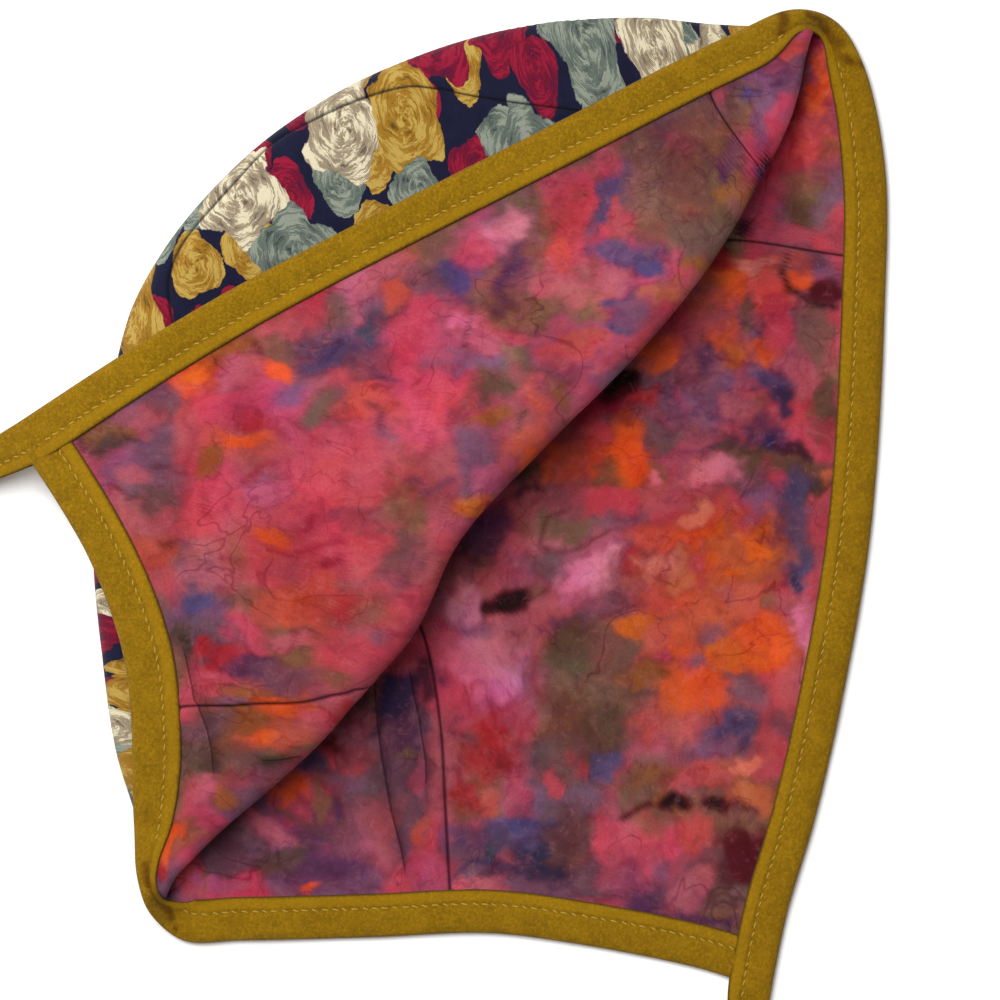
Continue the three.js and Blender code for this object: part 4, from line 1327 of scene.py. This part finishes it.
FLAP_STAINS_AND_SHADE = [
    ("purple", 0.7, 1.8, (456, 307), (469, 304), (471, 323), (462, 346)),
    ("navy", 0.6, 2.0, (369, 365), (376, 376), (402, 382)),
    ("moss", 0.8, 3.0, (525, 414), (519, 424), (517, 432)),
    ("purple", 0.75, 2.4, (408, 481), (417, 476), (424, 493), (436, 487), (453, 480)),
    ("maroon", 0.6, 1.5, (157, 465), (174, 469), (188, 474)),
    ("crimson", 0.6, 1.8, (186, 419), (196, 434), (192, 456), (190, 474)),
    ("crimson", 0.5, 1.7, (198, 405), (210, 395), (221, 388)),
    ("crimson", 0.7, 1.9, (204, 486), (210, 513), (216, 518), (233, 500)),
    ("crimson", 0.7, 2.8, (248, 483), (262, 470), (276, 462)),
    ("crimson", 0.6, 1.6, (254, 507), (270, 507), (286, 503)),
    ("crimson", 0.75, 2.3, (266, 546), (292, 554), (327, 545), (345, 540)),
    ("crimson", 0.85, 5.0, (306, 530), (314, 520)),
    ("crimson", 0.85, 5.0, (327, 563), (341, 560)),
    ("maroon", 0.75, 3.2, (164, 543), (176, 544)),
    ("maroon", 0.75, 4.0, (258, 345), (264, 352)),
    ("crimson", 0.55, 2.2, (232, 556), (244, 566), (236, 590), (222, 588)),
    ("crimson", 0.5, 2.0, (290, 420), (310, 430), (316, 440)),
    ("plum", 0.6, 3.0, (368, 402), (384, 410), (380, 426)),
    ("purple", 0.6, 4.5, (252, 668), (262, 672)),
    # Painted shade along the flap's crease beside the nape binding, drawn as a moss-coloured line
    ("moss", 0.7, 2.6, (212, 748), (212, 762), (218, 776)),
]

# A pool's dye: its strength, the shares of its size between which it thins out, the place, width
# and depth of its darker rim, and the pixels beyond which none of it can lie
POOL_STRENGTH = 0.93
POOL_THINS = (0.5, 1.35)
RIM_AT, RIM_WIDTH, RIM_DEPTH = 1.05, 0.16, 0.14
POOL_LIMIT = 140

# How far a stain bleeds to each side of its width, in pixels
STAIN_BLEED = 4.2


# Noise that pulls the dyes about: how many pixels, its size in pixels, its seeds across and down
# the view, and its octaves
DRIFTS = ((11, 60, 11, 31, 4), (6, 17, 21, 41, 3))

# Noise that frays the pools' rims and that fades and warms the dyes: height, size in pixels,
# first seed and octaves
RAGGED = ((0.26, 30, 51, 4), (0.14, 9, 61, 2))
FADED = ((0.62, 52, 141, 3), (0.14, 13, 151, 2))
WARM = ((0.50, 58, 161, 3),)

# Ridges where the crumpled cloth took more dye: size in pixels, first seed and strength, then
# how much of each colour they take away
RIDGES = ((34, 121, 0.42), (17, 131, 0.26))
RIDGE_DEPTH = np.array([0.55, 0.85, 0.62])
VEIL = (98, 66, 88)


def clouds(x, y, rows):
    """A sum of smooth noises, with a row for each."""
    return sum(high * cloudy(x, y, size, seed, octaves) for high, size, seed, octaves in rows)


def pool_share(right, down, ragged, x, y, wide, tall, turn=0):
    """How much of one pool's dye lies at pixels of the view, and how near its rim they are."""
    c, s = math.cos(math.radians(turn)), math.sin(math.radians(turn))
    dx, dy = right - x, down - y
    far = np.hypot((dx * c + dy * s) / wide, (dy * c - dx * s) / tall) + ragged
    rim = np.exp(-((far - RIM_AT) / RIM_WIDTH) ** 2)
    return POOL_STRENGTH * (1 - smoothstep(far, *POOL_THINS)), rim


def line_distance(x, y, stops):
    """Distance of points from a line through stops."""
    best = np.full(np.shape(x), np.inf)
    for (x0, y0), (x1, y1) in zip(stops, stops[1:]):
        length = (x1 - x0) ** 2 + (y1 - y0) ** 2
        f = np.clip(((x - x0) * (x1 - x0) + (y - y0) * (y1 - y0)) / length, 0, 1)
        best = np.minimum(best, np.hypot(x - x0 - f * (x1 - x0), y - y0 - f * (y1 - y0)))
    return best


def dye_the_cloth(points, on_flap, on_ground):
    """The dye's colour at each point of the lining, with a few lines of painted shade from the
    stain tables.
    """
    right, down = to_view(points)
    x, y = right, down
    for pull, size, seed_across, seed_down, octaves in DRIFTS:
        x = x + pull * cloudy(right, down, size, seed_across, octaves)
        y = y + pull * cloudy(right, down, size, seed_down, octaves)
    ragged = clouds(right, down, RAGGED)
    shades = {name: np.array(linear(*seen)) for name, seen in DYES.items()}
    pale = smoothstep(cloudy(right, down, 70, 71), -0.5, 0.6)[:, None]
    colour = shades["rose"] * (1 - pale) + shades["blush"] * pale
    loose = cloudy(right, down, 80, 81)
    for name, low, high in (("lilac", 0.25, 0.7), ("tan", -0.25, -0.8)):
        share = smoothstep(loose, low, high)[:, None]
        colour = colour * (1 - share) + shades[name] * share
    for pools, share in ((FLAP_POOLS, on_flap), (GROUND_POOLS, on_ground)):
        for dye, *pool in pools:
            away = np.maximum(np.abs(right - pool[0]), np.abs(down - pool[1]))
            near = (away < POOL_LIMIT) & (share > 0)
            much, rim = pool_share(x[near], y[near], ragged[near], *pool)
            much = (much * share[near])[:, None]
            mixed = colour[near] * (1 - much) + shades[dye] * much
            colour[near] = mixed * (1 - RIM_DEPTH * (rim * share[near])[:, None])
    colour = crinkled(colour, x, y)
    sx = right + 2.4 * cloudy(right, down, 14, 91, 2)
    sy = down + 2.4 * cloudy(right, down, 14, 95, 2)
    for stains_and_shade, share in ((GROUND_STAINS_AND_SHADE, on_ground), (FLAP_STAINS_AND_SHADE, on_flap)):
        for dye, strength, half, *stops in stains_and_shade:
            off = line_distance(sx, sy, stops)
            depth = smoothstep(off, half + STAIN_BLEED, half - STAIN_BLEED)
            much = (strength * depth * share)[:, None]
            colour = colour * (1 - much) + shades[dye] * much
    return colour


def crinkled(colour, x, y):
    """Deepens and fades the dye in the way cloth takes it when it is dyed crumpled."""
    faded, warm = clouds(x, y, FADED), clouds(x, y, WARM)
    fading = np.column_stack([0.05 * faded, 0.55 * faded, 0.5 * faded - 0.5 * warm])
    colour = colour * np.exp(fading)
    swell = 1 + 0.20 * cloudy(x, y, 70, 101, 3)[:, None] + 0.07 * cloudy(x, y, 26, 106, 3)[:, None]
    veil = 0.36 * smoothstep(cloudy(x, y, 52, 111, 4), 0.18, 0.85)[:, None]
    colour = colour * swell * (1 - veil) + np.array(linear(*VEIL)) * veil
    for size, seed, strength in RIDGES:
        ridge = 1 - np.abs(cloudy(x, y, size, seed, 3)) * 3.4
        region = smoothstep(cloudy(x, y, 70, seed + 5), -0.3, 0.4)
        ridge = strength * smoothstep(ridge, 0.25, 1.0) * region
        colour = colour * (1 - ridge[:, None] * RIDGE_DEPTH)
    return colour


def sheet_shares(along, w):
    """How much of each place belongs to the flap and how much to the ground."""
    u = bilinear(CLOTH_SURFACE.u, CLOTH_SURFACE.along, CLOTH_SURFACE.w, along, w)
    on_flap = 1 - smoothstep(u, FOLD_U + 0.1, FOLD_U + 0.5)
    on_ground = smoothstep(u, DOME_U - 0.6, DOME_U - 0.1)
    return on_flap.ravel(), on_ground.ravel()


def weave(nodes, place, pitch, depth, below=None):
    """A bump of threads crossing at right angles, over places in millimetres."""
    x, y, _ = nodes.split(place)
    waves = [nodes.maths("SINE", nodes.times(way, 2 * math.pi / pitch)) for way in (x, y)]
    return nodes.bump(nodes.times(*waves), depth, 1.0, below)


def tuck_lines(nodes, colour):
    """Painted shade: thin dark lines where the cloth tucks under itself, and a painted shadow
    beside each on the cloth that lies under.
    """
    for index in range(len(TUCKS)):
        off, run, share = nodes.split(nodes.attribute(f"tuck_{index}", "Vector"))
        line = nodes.step(nodes.maths("ABSOLUTE", off), 0.34, 0.08)
        shade = nodes.times(nodes.step(off, 3.4, 0.0, 0.0, 0.6), nodes.step(off, -0.2, 0.05))
        line = nodes.maths("MAXIMUM", line, shade)
        for fade in (nodes.step(run, 0.0, 0.10), nodes.step(run, 1.0, 0.90),
                     nodes.times(share, 0.8)):
            line = nodes.times(line, fade)
        colour = nodes.mix(line, colour, nodes.tinted(colour, (0.22, 0.14, 0.22)))
    return colour


# Thin dark veins where the dye crept: shift of their noise, cells to a millimetre, half width and
# strength
VEINS = ((37.0, 0.045, 0.011, 0.60), (91.0, 0.075, 0.013, 0.45))


def lining_material():
    """Cotton with dyes that ran into each other, with veins, mottling and a fine weave."""
    nodes = Nodes("dyed_cotton")
    dye = nodes.attribute("dye", "Vector")
    place = nodes.place()
    broad = nodes.noise(place, 0.17, 6.0, 0.62, 0.9)
    fine = nodes.noise(place, 0.5, 5.0, 0.62, 0.7)
    grain = nodes.noise(place, 2.2, 3.0, 0.6)
    deeper = nodes.tinted(dye, (0.66, 0.38, 0.58))
    colour = nodes.mix(nodes.step(broad, 0.50, 0.66, 0.0, 0.4), dye, deeper)
    paler = nodes.mix(0.30, dye, linear(206, 126, 132))
    colour = nodes.mix(nodes.step(broad, 0.46, 0.30, 0.0, 0.28), colour, paler)
    colour = nodes.mix(nodes.step(fine, 0.54, 0.74, 0.0, 0.35), colour, paler)
    colour = nodes.mix(nodes.step(fine, 0.47, 0.30, 0.0, 0.28), colour,
                       nodes.tinted(colour, (0.62, 0.42, 0.55)))
    darkest = nodes.tinted(colour, (0.50, 0.20, 0.40))
    for shift, scale, width, strength in VEINS:
        region_place = nodes.scaled(place, (1, 1, 1), (-shift, 5.0, 0.0))
        region = nodes.noise(region_place, 0.035, 2.0, 0.5)
        field_place = nodes.scaled(place, (1, 1, 1), (shift, 11.0, 0.0))
        field = nodes.noise(field_place, scale, 3.0, 0.5, 0.6)
        off = nodes.maths("ABSOLUTE", nodes.maths("SUBTRACT", field, 0.5))
        vein = nodes.times(nodes.step(off, width, 0.0), nodes.step(region, 0.50, 0.60))
        colour = nodes.mix(nodes.times(vein, strength), colour, darkest)
    grain_tone = nodes.step(grain, 0.3, 0.7, 0.90, 1.08)
    colour = nodes.tinted(colour, nodes.join(grain_tone, grain_tone, grain_tone))
    # Painted shade in the seam grooves, where the panels meet
    seam = nodes.attribute("from_seam")
    colour = nodes.mix(nodes.step(seam, 0.0008, 0.0001, 0.0, 0.8), colour,
                       nodes.tinted(colour, (0.22, 0.12, 0.25)))
    colour = tuck_lines(nodes, colour)
    crumple = nodes.noise(place, 0.11, 3.0, 0.5, 0.3)
    normal = nodes.bump(crumple, 1.6, 0.5)
    normal = weave(nodes, place, 0.44, 0.035, normal)
    normal = nodes.bump(grain, 0.05, 0.6, normal)
    return nodes.finish(colour, 0.85, normal, specular=0.12, sheen=0.03)


def binding_material(colours):
    """Soft mustard cotton cut on the bias, with painted shade and highlights at its creases, stitch
    groove and raised roll, and a painted shadow along its inner edge.
    """
    nodes = Nodes("mustard_cotton")
    place = nodes.place()
    patch = nodes.noise(place, 0.22, 4.0, 0.6)
    fine = nodes.noise(place, 1.6, 5.0, 0.7)
    bias = nodes.scaled(place, (1.0, 1.0, 1.0), turn=(0.0, 0.0, math.radians(12)))
    slub = nodes.noise(nodes.scaled(bias, (2.6, 0.7, 1.0)), 1.0, 3.0, 0.6)
    gold = tuple(colours.binding)
    shade, bright = (tuple(share * c for c in gold) for share in (0.56, 1.46))
    colour = nodes.mix(nodes.step(patch, 0.34, 0.66), nodes.mix(0.55, shade, gold), gold)
    colour = nodes.mix(nodes.step(fine, 0.5, 0.68, 0.0, 0.75), colour, bright)
    colour = nodes.mix(nodes.step(slub, 0.52, 0.72, 0.0, 0.6), colour, bright)
    colour = nodes.mix(nodes.step(fine, 0.49, 0.30, 0.0, 0.85), colour, shade)
    # Painted shade in the creases, and painted highlights where the crease table is below 0
    crease_shading = nodes.attribute("crease_shading")
    deep = nodes.tinted(colour, (0.50, 0.36, 0.30))
    colour = nodes.mix(nodes.step(crease_shading, 0.0, 1.0), colour, deep)
    colour = nodes.mix(nodes.step(crease_shading, 0.0, -1.0, 0.0, 0.6), colour, bright)
    inset = nodes.split(nodes.scaled(nodes.attribute("cloth_place", "Vector"), PER_METRE))[1]
    from_stitch = nodes.maths("SUBTRACT", inset, STITCH_LINE)
    # Painted shade in the stitch groove, and a painted highlight on the raised roll beside it
    groove = nodes.step(nodes.maths("ABSOLUTE", from_stitch), 0.55, 0.1)
    colour = nodes.mix(nodes.times(groove, 0.25), colour, shade)
    roll = nodes.times(nodes.step(from_stitch, 0.4, 1.1), nodes.step(from_stitch, 2.9, 2.2))
    colour = nodes.mix(nodes.times(roll, 0.35), colour, bright)
    # A painted shadow along the inner edge, where the binding meets the lining
    inner_edge_shadow = nodes.step(inset, BINDING_IN - 0.45, BINDING_IN + 0.05)
    colour = nodes.mix(nodes.times(inner_edge_shadow, 0.75), colour, linear(52, 36, 8))
    normal = nodes.bump(patch, 0.7, 0.5)
    normal = weave(nodes, bias, 0.5, 0.04, normal)
    normal = nodes.bump(fine, 0.16, 0.6, normal)
    return nodes.finish(colour, 0.9, normal, specular=0.08, sheen=0.04)


def thread_material(colours):
    """Sewing thread with a fine twist."""
    nodes = Nodes("mustard_thread")
    twist = nodes.noise(nodes.place(), 2.6, 2.0, 0.5)
    thread = tuple(colours.thread)
    colour = nodes.mix(twist, tuple(0.6 * c for c in thread), thread)
    return nodes.finish(colour, 0.7, nodes.bump(twist, 0.05, 0.5), specular=0.2)


# The brush-daubed flowers of the outer cloth: light, middle and dark tone of each kind
FLOWERS = {
    "cream": ((206, 196, 166), (140, 126, 104), (92, 80, 68)),
    "sage": ((132, 138, 124), (88, 98, 90), (52, 60, 60)),
    "wine": ((138, 20, 48), (98, 12, 38), (52, 18, 54)),
    "ochre": ((172, 144, 70), (142, 102, 30), (96, 70, 20)),
}


def flower_layer(nodes, per_mm, size, offset, turn, petals, kinds):
    """Rosettes of brush daubs scattered over the cloth: their colour and where they cover it."""
    spot = nodes.scaled(per_mm, (1 / size, 1 / size, 0.0), offset, (0.0, 0.0, turn))
    wobble = nodes.noise(spot, 5.0, 3.0, 0.6, 0.0, "Color")
    wobble = nodes.vectors("SCALE", nodes.vectors("SUBTRACT", wobble, (0.5, 0.5, 0.5)), 0.16)
    spot = nodes.vectors("ADD", spot, wobble)
    cell = nodes.make("ShaderNodeTexVoronoi", voronoi_dimensions="2D", feature="F1", inputs={
        "Vector": spot, "Scale": 1.0, "Randomness": 0.55})
    parts = nodes.split(nodes.vectors("SUBTRACT", spot, cell.outputs["Position"]))
    angle = nodes.maths("ARCTAN2", parts[1], parts[0])
    chance = nodes.make("ShaderNodeSeparateColor", inputs={0: cell.outputs["Color"]}).outputs
    radius = cell.outputs["Distance"]
    lobes = nodes.maths("SINE", nodes.maths("MULTIPLY_ADD", angle, petals,
                                            nodes.times(chance[1], 6.3)))
    reach = nodes.maths("MULTIPLY_ADD", lobes, 0.07, 0.46)
    cover = nodes.step(nodes.maths("SUBTRACT", reach, radius), 0.0, 0.015)
    swirl = nodes.maths("MULTIPLY_ADD", radius, 9.0, nodes.times(angle, 0.9))
    stroke_place = nodes.join(nodes.times(swirl, 1.3), nodes.times(radius, 14.0),
                              nodes.times(chance[0], 40.0))
    strokes = nodes.noise(stroke_place, 1.3, 4.0, 0.65, 0.6)
    hairs = nodes.noise(nodes.scaled(stroke_place, (1.0, 6.0, 1.0)), 2.2, 3.0, 0.7)
    shade = nodes.maths("ADD", nodes.times(strokes, 0.75), nodes.times(hairs, 0.35))
    shade = nodes.maths("ADD", shade, nodes.times(lobes, 0.05))
    colour = None
    edges = np.linspace(0, 1, len(kinds) + 1)[1:-1]
    for index, kind in enumerate(kinds):
        light, middle, dark = (linear(*tone) for tone in FLOWERS[kind])
        tones = nodes.mix(nodes.step(shade, 0.40, 0.48), dark, middle)
        tones = nodes.mix(nodes.step(shade, 0.55, 0.61), tones, light)
        if colour is None:
            colour = tones
        else:
            pick = nodes.maths("GREATER_THAN", chance[2], float(edges[index - 1]))
            colour = nodes.mix(pick, colour, tones)
    gaps = nodes.step(shade, 0.30, 0.34)
    return colour, nodes.times(cover, gaps)


def outer_material(sizes, colours):
    """Dark navy cotton printed all over with loosely daubed flowers and leaves."""
    nodes = Nodes("daubed_print_cotton")
    place = nodes.attribute("cloth_place", "Vector")
    per_mm = nodes.scaled(place, (1000.0, 1000.0, 0.0))
    ground = tuple(colours.print_ground)
    colour = nodes.mix(nodes.noise(per_mm, 0.3, 2.0), ground, tuple(2.2 * c for c in ground))
    layers = (
        (14.0, (3.3, 7.1, 0.0), 0.5, 3.0, ("ochre", "wine", "sage")),
        (sizes.flower_size / MM, (0.4, 2.2, 0.0), -0.35, 5.0,
         ("cream", "wine", "sage", "ochre", "wine")),
    )
    for layer in layers:
        daubs, cover = flower_layer(nodes, per_mm, *layer)
        colour = nodes.mix(cover, colour, daubs)
    # Painted shade in the seam grooves, where the panels meet
    seam = nodes.attribute("from_seam")
    colour = nodes.mix(nodes.step(seam, 0.0007, 0.0001, 0.0, 0.7), colour, linear(12, 10, 20))
    here = nodes.place()
    crumple = nodes.noise(here, 0.10, 3.0, 0.5, 0.3)
    normal = nodes.bump(crumple, 1.3, 0.4)
    normal = weave(nodes, here, 0.44, 0.04, normal)
    return nodes.finish(colour, 0.85, normal, specular=0.12, sheen=0.03)


SENSOR_WIDTH = 36.0

# The lights, as place, size in metres and power in watts, and where they point
LIGHTS = {
    "overhead": ((-0.28, 0.34, 1.2), 0.8, 17.0),
    "left_side": ((-0.9, 0.6, 0.75), 0.6, 6.0),
}
LIGHTS_MEET = (0, 0, 0.01)
SKY_POWER = 0.28


def make_camera(sizes):
    """The camera, straight over the middle of the view."""
    data = bpy.data.cameras.new("view_camera")
    distance = sizes.camera_height
    data.sensor_width = SENSOR_WIDTH
    data.lens = SENSOR_WIDTH * distance / (VIEW_PIXELS * PIXEL_MM * MM)
    camera = bpy.data.objects.new("view_camera", data)
    camera.location = (VIEW_CENTRE[0] * MM, VIEW_CENTRE[1] * MM, distance)
    bpy.context.scene.collection.objects.link(camera)
    bpy.context.scene.camera = camera


def area_light(name, place, size, power):
    """A round light, turned to the bonnet."""
    data = bpy.data.lights.new(name, "AREA")
    data.shape = "DISK"
    data.size = size
    data.energy = power
    light = bpy.data.objects.new(name, data)
    light.location = place
    way = Vector(LIGHTS_MEET) - Vector(place)
    light.rotation_euler = way.to_track_quat("-Z", "Y").to_euler()
    bpy.context.scene.collection.objects.link(light)


def make_stage(sizes, colours):
    """The camera, the floor and the lights."""
    make_camera(sizes)
    size = sizes.floor_reach
    corners = [(-size, -size, 0), (size, -size, 0), (size, size, 0), (-size, size, 0)]
    floor = new_object("floor", corners, [[(0, 1, 2, 3)]],
                       [plain_material("pale_floor", tuple(colours.floor), 0.9)], False)
    for name, light in LIGHTS.items():
        area_light(name, *light)
    world = bpy.data.worlds.new("studio")
    world.use_nodes = True
    back = world.node_tree.nodes["Background"]
    back.inputs["Color"].default_value = (1.0, 1.0, 1.0, 1.0)
    back.inputs["Strength"].default_value = SKY_POWER
    bpy.context.scene.world = world
    bpy.context.scene.view_settings.view_transform = "Standard"


# Beside a seam the cloth is tucked in this deep and wide, then swells this high between these
# distances, all in millimetres
SEAM_TUCK, SEAM_TUCK_WIDTH = 0.42, 0.45
SEAM_SWELL, SEAM_SWELLS, SEAM_SETTLES = 0.22, 1.6, (3.0, 6.5)


def dye_lining(obj, points, place, strength):
    """Stores the dye's colours and the tucks at a lining panel's points."""
    size = points.shape[:2]
    flat_points = to_part(points.reshape(-1, 3))
    w = place[..., 1] / CLOTH_SURFACE.section_length(place[..., 0])
    shares = sheet_shares(place[..., 0], w)
    # The dye's colours carry the few lines of painted shade from the stain tables
    add_attribute(obj, "dye", both_faces(dye_the_cloth(flat_points, *shares) * strength, *size))
    right, down = to_view(flat_points)
    for index, (sheet, _, *stops) in enumerate(TUCKS):
        off, run = beside_line(right, down, stops)
        tuck = np.column_stack([off, run, shares[0] if sheet == "flap" else shares[1]])
        add_attribute(obj, f"tuck_{index}", both_faces(tuck, *size))


def make_panels(layer, low, high, step, columns, material, colours):
    """The three panels of one layer of cloth."""
    is_lining = layer == "lining"
    for panel in ("left", "centre", "right"):
        points, normals, place, from_ends = panel_grid(panel, step, columns[panel])
        tucked = np.exp(-(from_ends / SEAM_TUCK_WIDTH) ** 2)
        settled = 1 - smoothstep(from_ends, *SEAM_SETTLES)
        rise = smoothstep(from_ends, 0.0, SEAM_SWELLS) * settled
        offset = SEAM_SWELL * rise - SEAM_TUCK * tucked
        shown, hidden = (high + offset, low) if is_lining else (low - offset, high)
        part = f"{panel}_panel" if panel == "centre" else f"{panel}_side"
        obj = slab(f"{layer}_cloth_{part}", points, normals, shown, hidden, [material])
        size = points.shape[:2]
        flat = both_faces(place, *size) * MM
        add_attribute(obj, "cloth_place", np.column_stack([flat, np.zeros(len(flat))]))
        add_attribute(obj, "from_seam", both_faces(from_ends, *size) * MM)
        if is_lining:
            dye_lining(obj, points, place, np.array(colours.dye_strength))
        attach(obj, "root")
        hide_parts(f"{layer}_{part}")


def length_property(name, description, default):
    """A length that a user can change, in metres."""
    return bpy.props.FloatProperty(name=name, description=description, default=default, min=0.0,
                                   precision=5, subtype="DISTANCE", unit="LENGTH")


def colour_property(name, description, default):
    """A colour that a user can change."""
    return bpy.props.FloatVectorProperty(name=name, description=description, default=default,
                                         size=3, min=0.0, max=1.0, subtype="COLOR")


class BonnetSizes(bpy.types.PropertyGroup):
    """Sizes that a user would change."""

    cloth_thickness: length_property("Cloth thickness", "Thickness of each layer of cloth", 0.0006)
    lining_mesh: length_property("Lining mesh", "Spacing of the lining's mesh", 0.00078)
    outer_mesh: length_property("Outer mesh", "Spacing of the outer cloth's mesh", 0.0015)
    flower_size: length_property("Flower size", "Spacing of the printed flowers", 0.022)
    stitch_pitch: length_property("Stitch pitch", "From one stitch to the next", 0.00215)
    stitch_length: length_property("Stitch length", "Length of a stitch that shows", 0.00165)
    thread_width: length_property("Thread width", "Thickness of the sewing thread", 0.00036)
    camera_height: length_property("Camera height", "Height of the camera over the floor", 2.0)
    floor_reach: length_property("Floor reach", "Half the width of the floor", 3.0)


class BonnetColours(bpy.types.PropertyGroup):
    """Colours that a user would change."""

    binding: colour_property("Binding", "Mustard cotton of the bindings", linear(132, 98, 8))
    thread: colour_property("Thread", "Sewing thread on the bindings", linear(182, 146, 58))
    dye_strength: colour_property("Dye strength", "Share of each dye's red, green and blue",
                                  (0.61, 0.50, 0.43))
    print_ground: colour_property("Print ground", "Cloth between the printed flowers",
                                  linear(14, 14, 34))
    floor: colour_property("Floor", "The pale floor", (0.98, 0.98, 0.98))


class BONNET_OT_make_stage(bpy.types.Operator):
    """Makes the camera, the floor and the lights"""

    bl_idname = "bonnet.make_stage"
    bl_label = "Make the stage"

    def execute(self, context):
        make_stage(context.scene.bonnet_sizes, context.scene.bonnet_colours)
        return {"FINISHED"}


class BONNET_OT_make_outer(bpy.types.Operator):
    """Makes the three printed panels of the outer cloth"""

    bl_idname = "bonnet.make_outer"
    bl_label = "Make the outer cloth"

    def execute(self, context):
        sizes, colours = context.scene.bonnet_sizes, context.scene.bonnet_colours
        make_panels("outer", -GAP - sizes.cloth_thickness / MM, -GAP, sizes.outer_mesh / MM,
                    {"left": 91, "centre": 151, "right": 91}, outer_material(sizes, colours),
                    colours)
        return {"FINISHED"}


class BONNET_OT_make_lining(bpy.types.Operator):
    """Makes the three dyed panels of the lining"""

    bl_idname = "bonnet.make_lining"
    bl_label = "Make the lining"

    def execute(self, context):
        sizes, colours = context.scene.bonnet_sizes, context.scene.bonnet_colours
        make_panels("lining", GAP, GAP + sizes.cloth_thickness / MM, sizes.lining_mesh / MM,
                    {"left": 191, "centre": 261, "right": 221}, lining_material(), colours)
        return {"FINISHED"}


class BONNET_OT_make_bindings(bpy.types.Operator):
    """Makes the face and nape bindings with their stitches and the ties"""

    bl_idname = "bonnet.make_bindings"
    bl_label = "Make the bindings and ties"

    def execute(self, context):
        sizes, colours = context.scene.bonnet_sizes, context.scene.bonnet_colours
        materials = [binding_material(colours), thread_material(colours)]
        bind("nape_binding", neck_strip(), "neck_binding", materials, sizes, NECK_THIN)
        bind("face_binding", front_strip(), "front_binding", materials, sizes)
        return {"FINISHED"}


OPERATORS = (
    BONNET_OT_make_stage,
    BONNET_OT_make_outer,
    BONNET_OT_make_lining,
    BONNET_OT_make_bindings,
)


class VIEW3D_PT_bonnet(bpy.types.Panel):
    """Lists the bonnet's sizes, colours and pieces"""

    bl_idname = "VIEW3D_PT_bonnet"
    bl_label = "Bonnet"
    bl_space_type = "VIEW_3D"
    bl_region_type = "UI"
    bl_category = "Bonnet"

    def draw(self, context):
        for group in (context.scene.bonnet_sizes, context.scene.bonnet_colours):
            box = self.layout.box()
            for name in group.__annotations__:
                box.prop(group, name)
        for operator in OPERATORS:
            self.layout.operator(operator.bl_idname)


CLASSES = (BonnetSizes, BonnetColours, *OPERATORS, VIEW3D_PT_bonnet)


def register():
    """Adds the classes and the scene's settings."""
    for cls in CLASSES:
        bpy.utils.register_class(cls)
    bpy.types.Scene.bonnet_sizes = bpy.props.PointerProperty(type=BonnetSizes)
    bpy.types.Scene.bonnet_colours = bpy.props.PointerProperty(type=BonnetColours)


def unregister():
    """Takes away the scene's settings and the classes."""
    del bpy.types.Scene.bonnet_colours
    del bpy.types.Scene.bonnet_sizes
    for cls in reversed(CLASSES):
        bpy.utils.unregister_class(cls)


def main():
    """Makes every piece in order."""
    register()
    bpy.ops.bonnet.make_stage()
    bpy.ops.bonnet.make_outer()
    bpy.ops.bonnet.make_lining()
    bpy.ops.bonnet.make_bindings()


if __name__ == "__main__":
    main()
